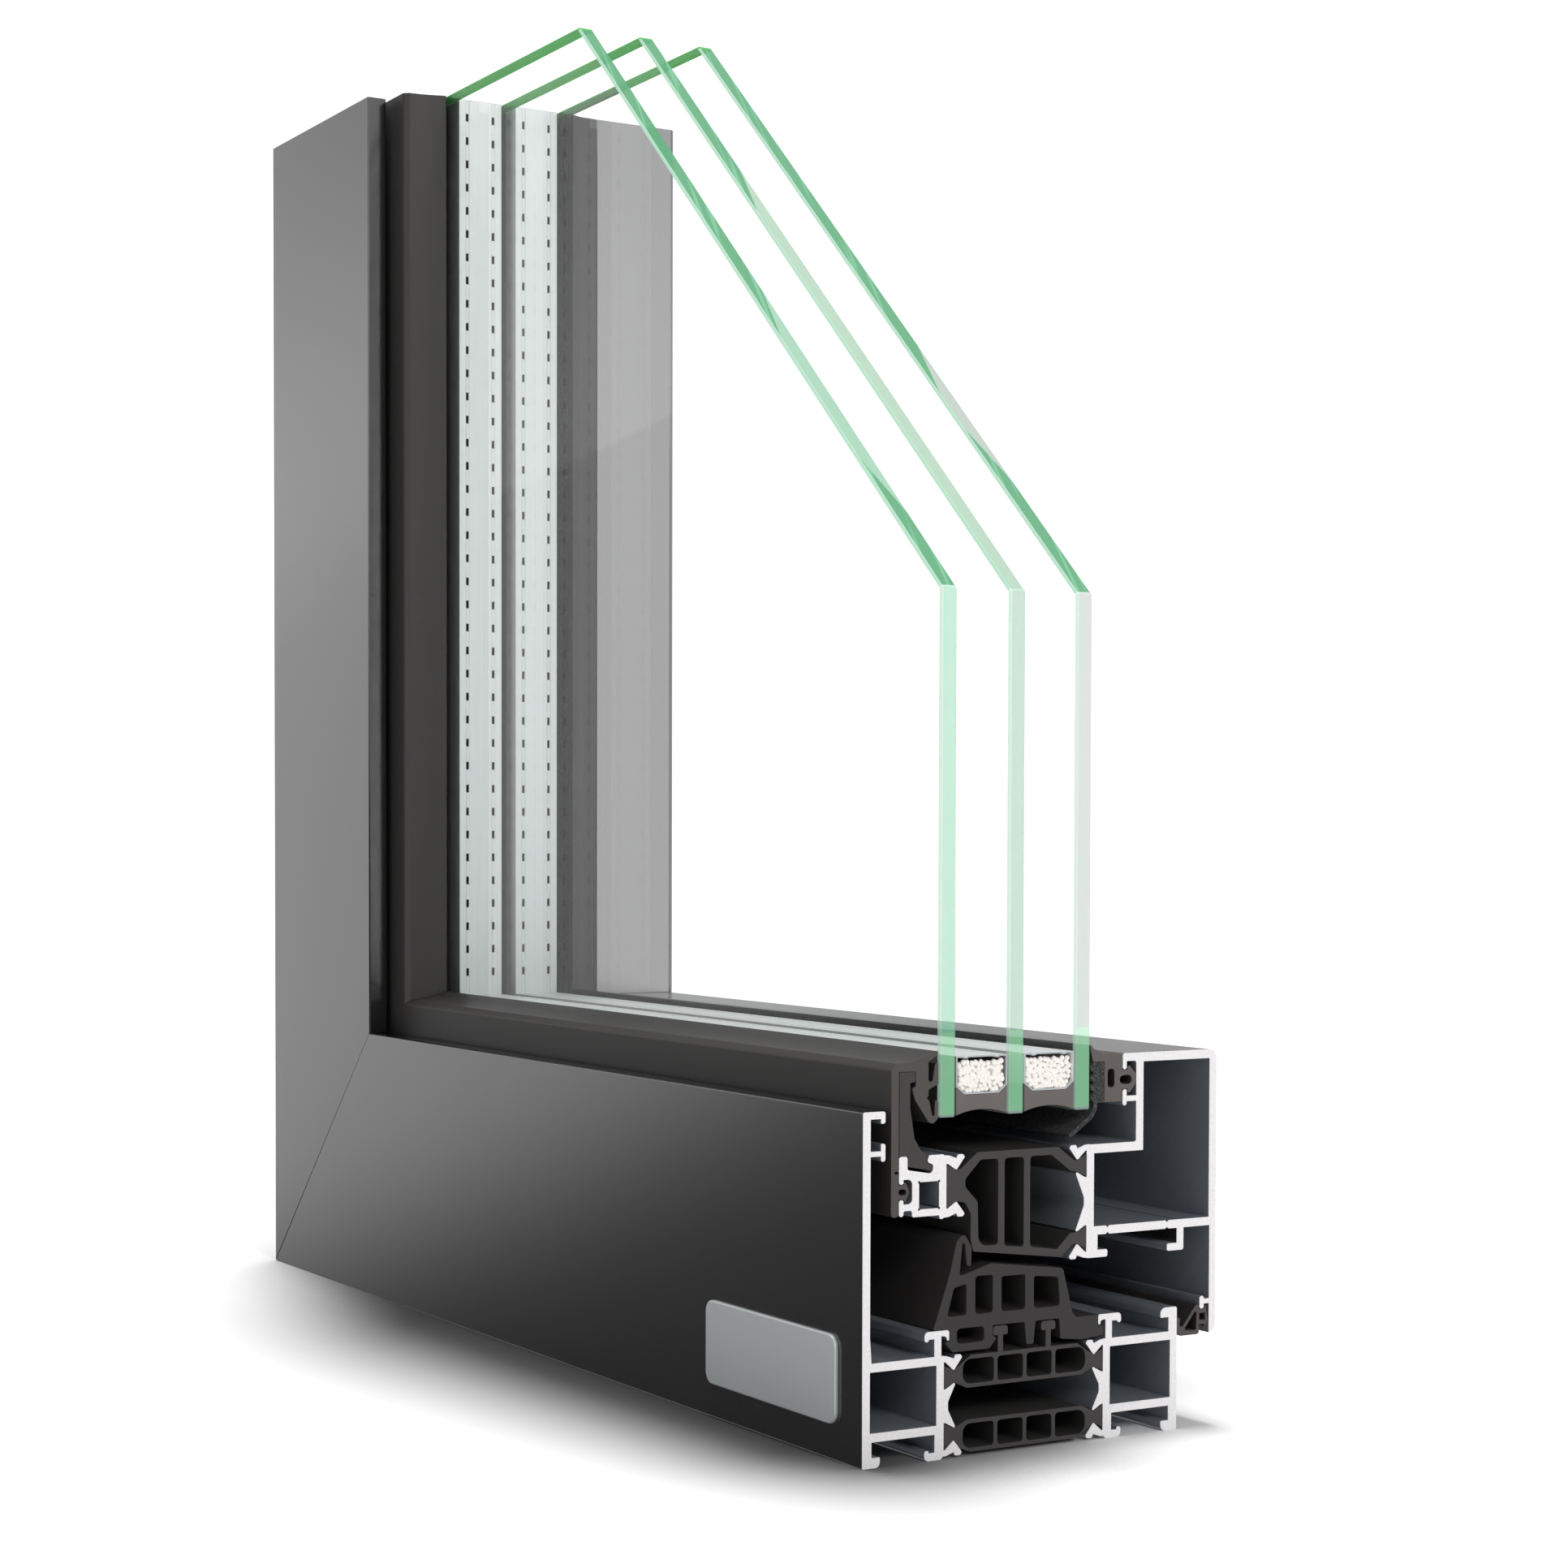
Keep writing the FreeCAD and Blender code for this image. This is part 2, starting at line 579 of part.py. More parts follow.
def sash_insulator():
    """Chambered plastic between the sash shells: one wide head in front, two heads behind."""
    throat = OUTER_BACK + HEAD_DEPTH
    end = INNER_FACE - HEAD_DEPTH
    roof = REBATE - 0.05
    low_web = SASH_BASE + 3.3
    first_web = throat + (end - throat) * 0.34
    second_web = throat + (end - throat) * 0.553
    web = INSULATOR_WEB
    high = SASH_UPPER_HEAD
    low = SASH_LOWER_HEAD
    outline = [
        (throat, WIDE_HEAD + WIDE_NECK_HALF),
        (throat + 1.0, WIDE_HEAD + WIDE_NECK_HALF + 0.2, 0.5),
        (throat + 4.8, roof, 0.5),
        (end - 4.5, roof, 1.0),
        (end - 0.6, high + NECK_HALF),
        (end, high + NECK_HALF),
        (end, high - NECK_HALF),
        (end - 1.6, high - NECK_HALF + 0.3, 0.5),
        (end - 6.2, roof - 1.45, 0.7),
        (second_web + web, roof - 1.45, 0.7),
        (second_web + web, low - 0.9, 0.7),
        (end - 4.8, low - 1.9, 0.7),
        (end - 1.6, low + NECK_HALF - 0.1, 0.5),
        (end, low + NECK_HALF),
        (end, low - NECK_HALF),
        (end - 0.9, low - NECK_HALF),
        (end - 3.8, SASH_BASE + 0.7, 0.6),
        (INSULATOR_FRONT + 0.7, low_web),
        (INSULATOR_FRONT, SASH_BASE + 5.5),
        (INSULATOR_FRONT, WIDE_HEAD - 5.6, 1.0),
        (throat + 2.0, WIDE_HEAD - WIDE_NECK_HALF - 0.4, 0.8),
        (throat, WIDE_HEAD - WIDE_NECK_HALF),
    ]
    bulge = [
        (first_web, roof - 1.45, 0.7),
        (throat + 5.6, roof - 1.45, 0.8),
        (throat + 1.2, WIDE_HEAD + 0.4, 1.8),
        (throat + 4.9, WIDE_HEAD - 3.4, 1.2),
        (throat + 5.1, SASH_BASE + 4.3, 2.0),
        (first_web, SASH_BASE + 4.2, 0.7),
    ]
    cell = [
        (first_web + web, roof - 1.45, 0.7),
        (first_web + web, SASH_BASE + 3.85, 0.7),
        (second_web, SASH_BASE + 3.4, 0.5),
        (second_web, roof - 1.45, 0.7),
    ]
    upper = mirrored(head(0, high, HEAD_HALF, NECK_HALF, 0.3), INNER_FACE / 2)
    lower = mirrored(head(0, low, HEAD_HALF, NECK_HALF, 0.3), INNER_FACE / 2)
    wide = head(OUTER_BACK, WIDE_HEAD, WIDE_HEAD_HALF, WIDE_NECK_HALF, 0.3)
    return join(face(outline, bulge, cell), upper, lower, wide)


def stop_gasket():
    """Gasket in the overlap lip that closes on the frame's room face."""
    wall = FRAME_DEPTH + SEAT_GAP
    lip = SASH_BACK - LIP_DEPTH - SEAT_GAP
    base = SASH_BASE - LIP_DROP
    mouth = base + STOP_MOUTH_LOW + SEAT_GAP
    roof = base + STOP_MOUTH_HIGH - SEAT_GAP
    outline = [
        (wall, base + 0.4, 0.2),
        (wall + 1.0, base - 0.1),
        (lip - 0.4, base - 0.1, 0.3),
        (lip, base + 0.2),
        (lip, mouth),
        (lip + 1.3, mouth),
        (lip + 1.4, base + 1.15, 0.1),
        (lip + 2.35, base + 2.4, 0.3),
        (lip + 1.7, roof + 0.7, 0.2),
        (lip + 1.3, roof + 0.5),
        (lip + 1.3, roof),
        (lip, roof),
        (lip, base + 5.9),
        (lip - 0.9, base + 5.9, 0.2),
        (wall + 1.2, base + 1.5, 0.3),
        (wall + 0.7, base + 2.1, 0.2),
        (wall + 0.9, base + 3.4, 0.2),
        (wall + 0.3, base + 3.8, 0.2),
        (wall, base + 3.4, 0.1),
    ]
    hollow = [(wall + 1.8, base + 1.0, 0.2), (lip - 0.8, base + 0.8, 0.2), (lip - 0.7, base + 5.0, 0.2)]
    throat = box(lip + 0.1, mouth + 0.9, lip + 1.5, roof - 0.9)
    return face(outline, hollow, throat)


# Glazing


def glazing_bead():
    """Plastic carrier that hooks on the sash's weather shell and holds the cover gasket."""
    front = SASH_FRONT + SEAT_GAP
    crown = CROWN
    hook = OUTER_BACK - 4.4
    tip = BEAD_TOP
    outline = [
        (front, crown + SEAT_GAP),
        (front + 2.0, crown + SEAT_GAP),
        (front + 2.0, crown - 2.0, 0.2),
        (hook + 1.1, crown - 3.0, 0.4),
        (hook + 1.2, crown - 2.0, 0.3),
        (hook - 0.1, crown - 1.35),
        (hook - 0.2, crown - 1.1),
        (hook + 0.05, crown - 0.2),
        (hook - 1.5, crown + 1.1, 0.5),
        (front + 3.4, crown + 3.3, 1.0),
        (front + 2.4, GLASS_EDGE + 2.2, 1.0),
        (front + 2.4, tip - 2.1),
        (front + 3.6, tip - 1.9, 0.3),
        (front + 3.6, tip, 0.4),
        (front, tip, 0.2),
    ]
    return face(outline)


def outer_glazing_gasket():
    """Cover gasket: a leg down the front, a foot in the groove and lobes on the outer pane."""
    back = SASH_FRONT
    front = back - COVER_WALL
    crown = CROWN
    groove = FOOT_GROOVE
    tip = BEAD_TOP + SEAT_GAP
    pane = GLASS_FRONT - SEAT_GAP
    hook = back + 3.75
    edge = GLASS_EDGE
    outline = [
        (front, WIDE_HEAD - COVER_DROP, 0.8),
        (back - SEAT_GAP, WIDE_HEAD - COVER_DROP, 0.8),
        (back - SEAT_GAP, groove - 1.4),
        (back + 1.1, groove - 1.4),
        (back + 1.2, groove - 1.9, 0.1),
        (back + 1.6, groove - 1.8, 0.2),
        (back + 2.4, groove, 1.2),
        (back + 1.6, groove + 1.8, 0.2),
        (back + 1.2, groove + 1.9, 0.1),
        (back + 1.1, groove + 1.4),
        (back - SEAT_GAP, groove + 1.4),
        (back - SEAT_GAP, crown - 3.3),
        (back - 1.0, crown - 3.2, 0.1),
        (back - 1.0, crown - 2.8, 0.1),
        (back - SEAT_GAP, crown - 2.7),
        (back - SEAT_GAP, tip),
        (hook, tip, 0.3),
        (hook, edge + 6.3),
        (back + 2.9, edge + 5.8, 0.1),
        (back + 3.6, edge + 3.6),
        (pane - 2.3, edge - 0.6),
        (pane - 1.2, edge - 1.2, 0.8),
        (pane, edge - 0.2, 0.5),
        (pane, edge + 3.4, 0.4),
        (pane - 0.7, edge + 3.4, 0.2),
        (pane - 0.85, edge + 0.4, 0.15),
        (pane - 1.3, edge + 0.4, 0.15),
        (pane - 2.0, edge + 3.3),
        (pane - 2.6, edge + 3.9),
        (pane - 2.2, edge + 4.4),
        (pane - 2.2, edge + 5.5, 0.3),
        (pane, edge + 6.4),
        (pane, edge + 10.5, 0.4),
        (pane - 0.7, edge + 10.5, 0.3),
        (pane - 1.3, edge + 7.0, 0.3),
        (pane - 2.2, edge + 7.0, 0.3),
        (pane - 2.2, edge + 10.8, 0.2),
        (pane, edge + 12.2, 0.1),
        (pane, edge + 12.9, 0.2),
        (pane - 2.6, edge + 11.9),
        (pane - 6.0, edge + 11.0),
        (front + 1.4, edge + 10.7, 0.8),
        (front, edge + 9.6, 0.8),
    ]
    hole = box(back - 0.1, groove - 0.55, back + 1.65, groove + 0.55, 0.5, 0.5, 0.5, 0.5)
    return face(outline, hole)


def inner_glazing_gasket():
    """Room-side gasket in the glazing groove, with a nose against the inner pane."""
    pane = GLASS_BACK + SEAT_GAP
    front = GLASS_BACK + FOAM_WIDTH
    lip = GROOVE_FRONT - SEAT_GAP
    groove = SASH_TOP - GROOVE_MOUTH_LOW
    mouth = SASH_TOP - GROOVE_MOUTH_HIGH
    back = UPRIGHT - SEAT_GAP
    base = groove - GROOVE_FLOOR
    shelf = SASH_TOP - FOAM_DROP
    outline = [
        (front, base),
        (lip, base),
        (lip, groove + SEAT_GAP),
        (lip + 1.2, groove + SEAT_GAP),
        (lip + 1.3, groove - 0.7, 0.2),
        (lip + 1.9, groove - 0.7, 0.2),
        (back, groove + 1.1, 0.4),
        (back, mouth - 1.0, 0.4),
        (lip + 1.9, mouth + 0.7, 0.2),
        (lip + 1.3, mouth + 0.7, 0.2),
        (lip + 1.2, mouth - SEAT_GAP),
        (lip, mouth - SEAT_GAP),
        (lip, SASH_TOP - 0.1),
        (front - 0.5, SASH_TOP + 0.2, 0.5),
        (pane + 0.9, SASH_TOP + 1.1),
        (pane, SASH_TOP + 2.1, 0.1),
        (pane, SASH_TOP + 1.0),
        (pane + 0.7, shelf),
        (front, shelf),
    ]
    slot = box(front + 0.85, groove + 0.6, front + 2.45, mouth + 0.2, 0.5, 0.5, 0.5, 0.5)
    eye = [(lip - 0.6, groove + 1.2, 0.75), (back - 1.1, groove + 1.0, 0.85), (back - 1.1, mouth - 1.1, 0.85),
           (lip - 0.6, mouth - 1.3, 0.75)]
    return face(outline, slot, eye)


def glazing_foam():
    """Foam strip with a toothed front and a fin that closes the glazing rebate."""
    pane = GLASS_BACK + SEAT_GAP
    back = GLASS_BACK + FOAM_WIDTH - SEAT_GAP
    top = SASH_TOP - FOAM_DROP - SEAT_GAP
    base = SASH_TOP - GROOVE_MOUTH_LOW - GROOVE_FLOOR
    pitch = (top - base - 0.4) / FOAM_TEETH
    teeth = [(pane + 0.7, top)]
    for i in range(FOAM_TEETH):
        height = top - 0.2 - (i + 0.5) * pitch
        teeth.append((pane, height + 0.25))
        teeth.append((pane, height - 0.25))
        teeth.append((pane + 0.9, height - pitch / 2))
    outline = [(back, base), (back, top)] + teeth
    outline.append((pane + 0.9, base))
    drop = GLASS_EDGE
    fin = [
        (pane + 0.8, base + 0.2),
        (pane + 0.8, drop + 0.2, 1.2),
        (pane - 0.2, drop - 1.3, 2.0),
        (pane - 5.4, drop - 4.9, 0.4),
        (pane - 4.9, drop - 5.6, 0.4),
        (pane + 0.5, drop - 2.0, 2.0),
        (pane + 0.8 + FIN, drop, 1.2),
        (pane + 0.8 + FIN, base + 0.2),
    ]
    return join(face(outline), face(fin))


def cavity_front(index):
    """Depth where one glass cavity starts, counted from the weather side."""
    return GLASS_FRONT + PANE + index * (PANE + CAVITY)


def spacer(index):
    """Thin-walled spacer profile between two panes."""
    front = cavity_front(index) + SEAT_GAP
    back = cavity_front(index) + CAVITY - SEAT_GAP

    def shape(inset):
        cut = SPACER_CHAMFER - 0.4 * inset
        return [
            (front + inset, SPACER_BASE + cut),
            (front + inset + cut * 1.3, SPACER_BASE + inset),
            (back - inset - cut * 1.3, SPACER_BASE + inset),
            (back - inset, SPACER_BASE + cut),
            (back - inset, SPACER_TOP - inset),
            (front + inset, SPACER_TOP - inset),
        ]

    return face(shape(0), shape(SPACER_WALL)), face(shape(SPACER_WALL + SEAT_GAP))


def edge_sealant(index):
    """Sealant below a spacer, tooled to a hollow between the panes."""
    front = cavity_front(index) + SEAT_GAP
    back = cavity_front(index) + CAVITY - SEAT_GAP
    cut = SPACER_CHAMFER + SEAT_GAP
    low = SPACER_BASE - SEAT_GAP
    base = GLASS_EDGE + 0.2
    middle = (front + back) / 2
    top = [
        V(0, back, base),
        V(0, back, SPACER_BASE + cut - 0.1),
        V(0, back - SPACER_CHAMFER * 1.3, low),
        V(0, front + SPACER_CHAMFER * 1.3, low),
        V(0, front, SPACER_BASE + cut - 0.1),
        V(0, front, base),
    ]
    arch = Part.Arc(V(0, front, base), V(0, middle, base + SEALANT_ARCH), V(0, back, base)).toShape()
    return Part.Face(Part.Wire([arch] + Part.makePolygon(top).Edges))


def pane(index):
    """One pane with the sample's slanted cut and a small arris all round."""
    front = GLASS_FRONT + index * (PANE + CAVITY)
    corners = [
        (GLASS_EDGE, GLASS_EDGE),
        (SILL_LENGTH, GLASS_EDGE),
        (SILL_LENGTH, CUT_SILL_RISE),
        (CUT_HEAD_RUN, JAMB_HEIGHT),
        (GLASS_EDGE, JAMB_HEIGHT),
        (GLASS_EDGE, GLASS_EDGE),
    ]
    sheet = Part.Face(Part.makePolygon([V(x, front, z) for x, z in corners])).extrude(V(0, PANE, 0))
    rims = [edge for edge in sheet.Edges if edge.BoundBox.YLength < PANE / 2]
    return sheet.makeChamfer(ARRIS, rims)


# Corner cleats


def cleat(y0, z0, y1, z1, length):
    """Right-angled cleat that fills a chamber round the corner, with a window in each arm."""
    y0 = y0 + CLEAT_GAP
    z0 = z0 + CLEAT_GAP
    y1 = y1 - CLEAT_GAP
    z1 = z1 - CLEAT_GAP
    thick = z1 - z0
    tip = length
    bevel = thick / 5
    ell = [(z0, z0), (tip - bevel, z0), (tip, z0 + bevel), (tip, z1 - bevel), (tip - bevel, z1), (z1, z1),
           (z1, tip - bevel), (z1 - bevel, tip), (z0 + bevel, tip), (z0, tip - bevel), (z0, z0)]
    block = Part.Face(Part.makePolygon([V(x, y0, z) for x, z in ell])).extrude(V(0, y1 - y0, 0))
    wall = thick / 4
    arm = tip - z1 - 2 * wall - bevel
    window = Part.makeBox(arm, y1 - y0, thick - 2 * wall, V(z1 + wall, y0, z0 + wall))
    return block.cut(window).cut(window.mirror(V(0, 0, 0), V(1, 0, -1)))


def frame_outer_cleat():
    low = BOX_BASE + SHELL_WALL
    return cleat(SHELL_WALL, low, SHELL_DEPTH - SHELL_WALL, BOX_TOP - SHELL_WALL, FRAME_CLEAT_LEG)


def frame_inner_cleat():
    front = BAR_END + SHELL_WALL
    low = BOX_BASE + SHELL_WALL
    return cleat(front, low, FRAME_DEPTH - SHELL_WALL, BOX_TOP - SHELL_WALL, FRAME_CLEAT_LEG)


def sash_cleat():
    front = UPRIGHT + SASH_WALL
    return cleat(front, SASH_WEB + SHELL_WALL, SASH_BACK - SASH_WALL, SASH_TOP - SASH_WALL, SASH_CLEAT_LEG)


def save(name, shape):
    """Write one piece, with the origin below the middle of the whole sample."""
    placed = shape.copy()
    placed.translate(V(-SILL_LENGTH / 2, -SASH_BACK / 2, 0))
    placed.exportStep(os.path.join("parts", name + ".step"))


PROFILES = {
    "frame_outer_shell": frame_outer_shell,
    "frame_inner_shell": frame_inner_shell,
    "frame_lower_bar": frame_lower_bar,
    "frame_upper_bar": frame_upper_bar,
    "centre_gasket": centre_gasket,
    "sash_outer_shell": sash_outer_shell,
    "sash_inner_shell": sash_inner_shell,
    "sash_insulator": sash_insulator,
    "stop_gasket": stop_gasket,
    "glazing_bead": glazing_bead,
    "outer_glazing_gasket": outer_glazing_gasket,
    "inner_glazing_gasket": inner_glazing_gasket,
    "glazing_foam": glazing_foam,
}

os.makedirs("parts", exist_ok=True)

for name, draw in PROFILES.items():
    section = draw()
    save(name + "_sill", leg(section, SILL_LENGTH))
    save(name + "_jamb", upright(section, JAMB_HEIGHT))

for index, place in enumerate(("outer", "middle", "inner")):
    save(place + "_pane", pane(index))

for index, place in enumerate(("outer", "inner")):
    tube, filling = spacer(index)
    save(place + "_spacer", bent(tube))
    save(place + "_desiccant", bent(filling))
    save(place + "_edge_sealant", bent(edge_sealant(index)))

save("frame_outer_cleat", frame_outer_cleat())
save("frame_inner_cleat", frame_inner_cleat())
save("sash_cleat", sash_cleat())
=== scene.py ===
import math

import bmesh
import bpy
from mathutils import Matrix, Vector


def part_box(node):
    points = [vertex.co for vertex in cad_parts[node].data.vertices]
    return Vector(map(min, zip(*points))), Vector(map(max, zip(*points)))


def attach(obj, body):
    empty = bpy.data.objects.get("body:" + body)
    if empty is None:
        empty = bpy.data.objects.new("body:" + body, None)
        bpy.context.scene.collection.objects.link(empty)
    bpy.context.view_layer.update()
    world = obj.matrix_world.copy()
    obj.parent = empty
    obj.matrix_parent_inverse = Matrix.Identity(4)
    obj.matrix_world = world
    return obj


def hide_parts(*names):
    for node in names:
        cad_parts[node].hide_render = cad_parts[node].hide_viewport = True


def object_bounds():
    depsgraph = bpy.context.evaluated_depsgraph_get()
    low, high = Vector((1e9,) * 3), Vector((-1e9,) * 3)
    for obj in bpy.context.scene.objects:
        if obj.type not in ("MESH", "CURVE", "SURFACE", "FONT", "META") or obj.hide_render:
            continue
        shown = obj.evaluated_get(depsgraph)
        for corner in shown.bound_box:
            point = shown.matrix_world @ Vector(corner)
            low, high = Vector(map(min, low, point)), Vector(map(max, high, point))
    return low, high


# Corner sample of a window: a leg of sill and a leg of jamb, sawn so that their profiles show,
# with triple glass between them. Lengths are in metres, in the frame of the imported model.
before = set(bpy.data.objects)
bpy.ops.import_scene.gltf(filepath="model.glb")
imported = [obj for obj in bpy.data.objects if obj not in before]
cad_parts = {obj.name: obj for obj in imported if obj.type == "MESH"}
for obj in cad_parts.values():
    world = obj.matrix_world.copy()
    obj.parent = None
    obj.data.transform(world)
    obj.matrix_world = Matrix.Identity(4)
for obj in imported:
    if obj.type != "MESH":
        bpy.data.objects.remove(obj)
cad_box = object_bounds()

# Aluminium profiles of the frame and the sash. They are extruded, coated dark and then sawn,
# at 45 degrees in the corner and square at the sample's ends, so the cuts are bare metal.
# The chambers and grooves keep the mill's finish.
MM = 0.001
LEGS = ("sill", "jamb")
LEFT = cad_box[0].x
FRONT = cad_box[0].y
BACK = cad_box[1].y
SILL_END = cad_box[1].x
JAMB_END = cad_box[1].z
FACE_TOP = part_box("frame_outer_shell_sill")[1].z
SASH_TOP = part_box("sash_inner_shell_sill")[1].z
FACE_WALL = 1.9 * MM
FACE_HOOK = 6.0 * MM
FRAME_BACK = 32.6 * MM
SKIN = 0.25 * MM

SAWN_EDGE = 0.1 * MM
MITRE_EDGE = 0.2 * MM
SEAM_EDGE = 0.09 * MM
LONG_EDGE = 0.12 * MM
LONG_FROM = 100 * MM
LONG_MARGIN = 6
SEAM_FROM = 3 * MM
SQUARE = 0.99
MITRE = 0.999
MITRE_WAY = Vector((1, 0, -1)).normalized()
TOUCHING = MM / 50
SAME_POINT = MM / 2000
FLAT_WITHIN = math.radians(0.3)
SHARP_FROM = math.radians(40)
SMOOTH_TO = math.radians(50)
CORNER_FROM = math.radians(60)

COAT_GREY = (112, 111, 112)
LIP_SHADE_GREY = (66, 65, 66)
BARE_GREY = (156, 162, 170)
SAWN_ALUMINIUM = (235, 233, 234)
COAT_METAL = 0.92
BARE_METAL = 0.55
SAWN_METAL = 0.2
COAT_ROUGHNESS = 0.18
BARE_ROUGHNESS = 0.36
SAWN_ROUGHNESS = 0.6
GRAIN_SCALE = 2600.0
GRAIN_SHARE = 0.3
GRAIN_ROUGHNESS = 0.04
CLOUD_SCALE = 16.0
SAW_ACROSS = 2400.0
SAW_ALONG = 900.0
SAW_REACH = 1.1 * SAWN_EDGE
PRESS_ALONG = 4.0
PRESS_ACROSS = 800.0
PRESS_DEEP = 1600.0
RELIEF = 0.02 * MM
RELIEF_STRENGTH = 0.5


def paint(colour, lighter=0):
    """A colour given as it looks on a screen, from 0 to 255, as the shaders take it."""
    screen = [(level + lighter) / 255 for level in colour]
    linear = [level / 12.92 if level < 0.043 else ((level + 0.055) / 1.055) ** 2.4 for level in screen]
    return (*linear, 1.0)


class Value:
    """What one socket of a node gives. Python's operators on it add Math nodes."""

    def __init__(self, nodes, link):
        self.nodes = nodes
        self.link = link

    def maths(self, operation, *values):
        return self.nodes.node("ShaderNodeMath", {"operation": operation}, dict(enumerate(values)))

    def __add__(self, other):
        return self.maths("ADD", self, other)

    __radd__ = __add__

    def __sub__(self, other):
        return self.maths("SUBTRACT", self, other)

    def __rsub__(self, other):
        return self.maths("SUBTRACT", other, self)

    def __mul__(self, other):
        return self.maths("MULTIPLY", self, other)

    __rmul__ = __mul__

    def __truediv__(self, other):
        return self.maths("DIVIDE", self, other)

    def __gt__(self, other):
        return self.maths("GREATER_THAN", self, other)

    def __lt__(self, other):
        return self.maths("LESS_THAN", self, other)

    def __abs__(self):
        return self.maths("ABSOLUTE", self)

    def larger(self, other):
        return self.maths("MAXIMUM", self, other)

    def smaller(self, other):
        return self.maths("MINIMUM", self, other)


class Nodes:
    """The nodes of a material, of the world or of a Geometry Nodes tree."""

    def __init__(self, tree):
        self.tree = tree
        tree.nodes.clear()

    def node(self, kind, settings=None, inputs=None, output=0):
        """Adds a node and gives one of its outputs.

        Its settings come first, then the values or links of its inputs. A list links them all."""
        made = self.tree.nodes.new(kind)
        for name, value in (settings or {}).items():
            setattr(made, name, value)
        for socket, given in (inputs or {}).items():
            for value in given if isinstance(given, list) else [given]:
                if isinstance(value, Value):
                    self.tree.links.new(value.link, made.inputs[socket])
                else:
                    made.inputs[socket].default_value = value
        return Value(self, made.outputs[output]) if made.outputs else None

    def split(self, vector):
        """The x, y and z of a vector."""
        return [self.node("ShaderNodeSeparateXYZ", None, {0: vector}, i) for i in range(3)]

    def vector(self, x, y, z):
        return self.node("ShaderNodeCombineXYZ", None, {0: x, 1: y, 2: z})

    def point(self):
        """The shaded point, in metres."""
        return self.node("ShaderNodeTexCoord", output="Object")

    def place(self):
        """The x, y and z of the shaded point."""
        return self.split(self.point())

    def mix(self, factor, first, second):
        """Blend of two colours."""
        return self.node("ShaderNodeMix", {"data_type": "RGBA"}, {0: factor, 6: first, 7: second}, 2)

    def blend(self, factor, first, second):
        """Blend of two surfaces."""
        return self.node("ShaderNodeMixShader", None, {0: factor, 1: first, 2: second})

    def noise(self, vector, scale, detail=2.0):
        return self.node("ShaderNodeTexNoise", None, {"Vector": vector, "Scale": scale, "Detail": detail})

    def ramp(self, value, low, high):
        """0 below one value, 1 above another, with a smooth rise between them."""
        settings = {"interpolation_type": "SMOOTHSTEP"}
        return self.node("ShaderNodeMapRange", settings, {0: value, 1: low, 2: high, 3: 0.0, 4: 1.0})

    def bump(self, height, distance, strength=1.0):
        inputs = {"Height": height, "Distance": distance, "Strength": strength}
        return self.node("ShaderNodeBump", None, inputs)

    def normal(self, axis):
        """How much of the shaded face's normal points along x, y or z, numbered from 0."""
        return self.split(self.node("ShaderNodeNewGeometry", output="Normal"))[axis]

    def finish(self, inputs):
        """Gives the material one Principled surface."""
        self.surface(self.node("ShaderNodeBsdfPrincipled", None, inputs))

    def surface(self, shader):
        self.node("ShaderNodeOutputMaterial", None, {"Surface": shader})


def new_material(title):
    """A material and its nodes, none yet."""
    material = bpy.data.materials.new(title)
    material.use_nodes = True
    return material, Nodes(material.node_tree)


def saw_cuts(nodes, x, y, z):
    """1 on the sample's two cut ends, and a coordinate across and one along the saw's marks there."""
    top = z > JAMB_END - SAW_REACH
    cut = top.larger(x > SILL_END - SAW_REACH)
    side = z + top * (x - z)
    return cut, nodes.vector((y - side) * SAW_ACROSS, (y + side) * SAW_ALONG, 0.0)


def coated_aluminium():
    """Satin dark coat outside, mill finish in the chambers and grooves, saw marks on the cuts."""
    material, nodes = new_material("coated aluminium")
    x, y, z = nodes.place()
    cut, marks = saw_cuts(nodes, x, y, z)
    height_in_leg = z.smaller(x - LEFT)
    # Painted shade: the top of the face wall's hook is coloured darker, as the shade next to the gasket.
    shaded_lip = (height_in_leg > FACE_TOP - SKIN) * (y > FRONT + SKIN) * (y < FRONT + FACE_HOOK)
    inside = (y > FRONT + FACE_WALL) * (y < BACK - SKIN) * (height_in_leg < SASH_TOP - SKIN)
    inside = inside * (abs(y - FRAME_BACK) > SKIN) * (1 - shaded_lip)
    saw = nodes.noise(marks, 1.0, detail=3.0)
    grain = nodes.noise(nodes.point(), GRAIN_SCALE)
    cloud = nodes.noise(nodes.point(), CLOUD_SCALE)
    coat = nodes.mix(cloud, paint(COAT_GREY, -2), paint(COAT_GREY, 2))
    coat = nodes.mix(shaded_lip, coat, paint(LIP_SHADE_GREY))
    metal = nodes.mix(saw, paint(SAWN_ALUMINIUM, -36), paint(SAWN_ALUMINIUM))
    pressed = nodes.vector((x + z) * PRESS_ALONG, y * PRESS_DEEP, (x - z) * PRESS_ACROSS)
    bare = nodes.mix(nodes.noise(pressed, 1.0), paint(BARE_GREY, -12), paint(BARE_GREY))
    metallic = COAT_METAL - (COAT_METAL - BARE_METAL) * inside
    roughness = COAT_ROUGHNESS + (BARE_ROUGHNESS - COAT_ROUGHNESS) * inside
    roughness = roughness + (grain - 0.5) * GRAIN_ROUGHNESS
    nodes.finish({
        "Base Color": nodes.mix(cut, nodes.mix(inside, coat, bare), metal),
        "Metallic": metallic * (1 - cut) + SAWN_METAL * cut,
        "Roughness": roughness + (SAWN_ROUGHNESS - roughness) * cut,
        "Normal": nodes.bump(grain * GRAIN_SHARE * (1 - cut) + saw * cut, RELIEF, RELIEF_STRENGTH),
    })
    return material


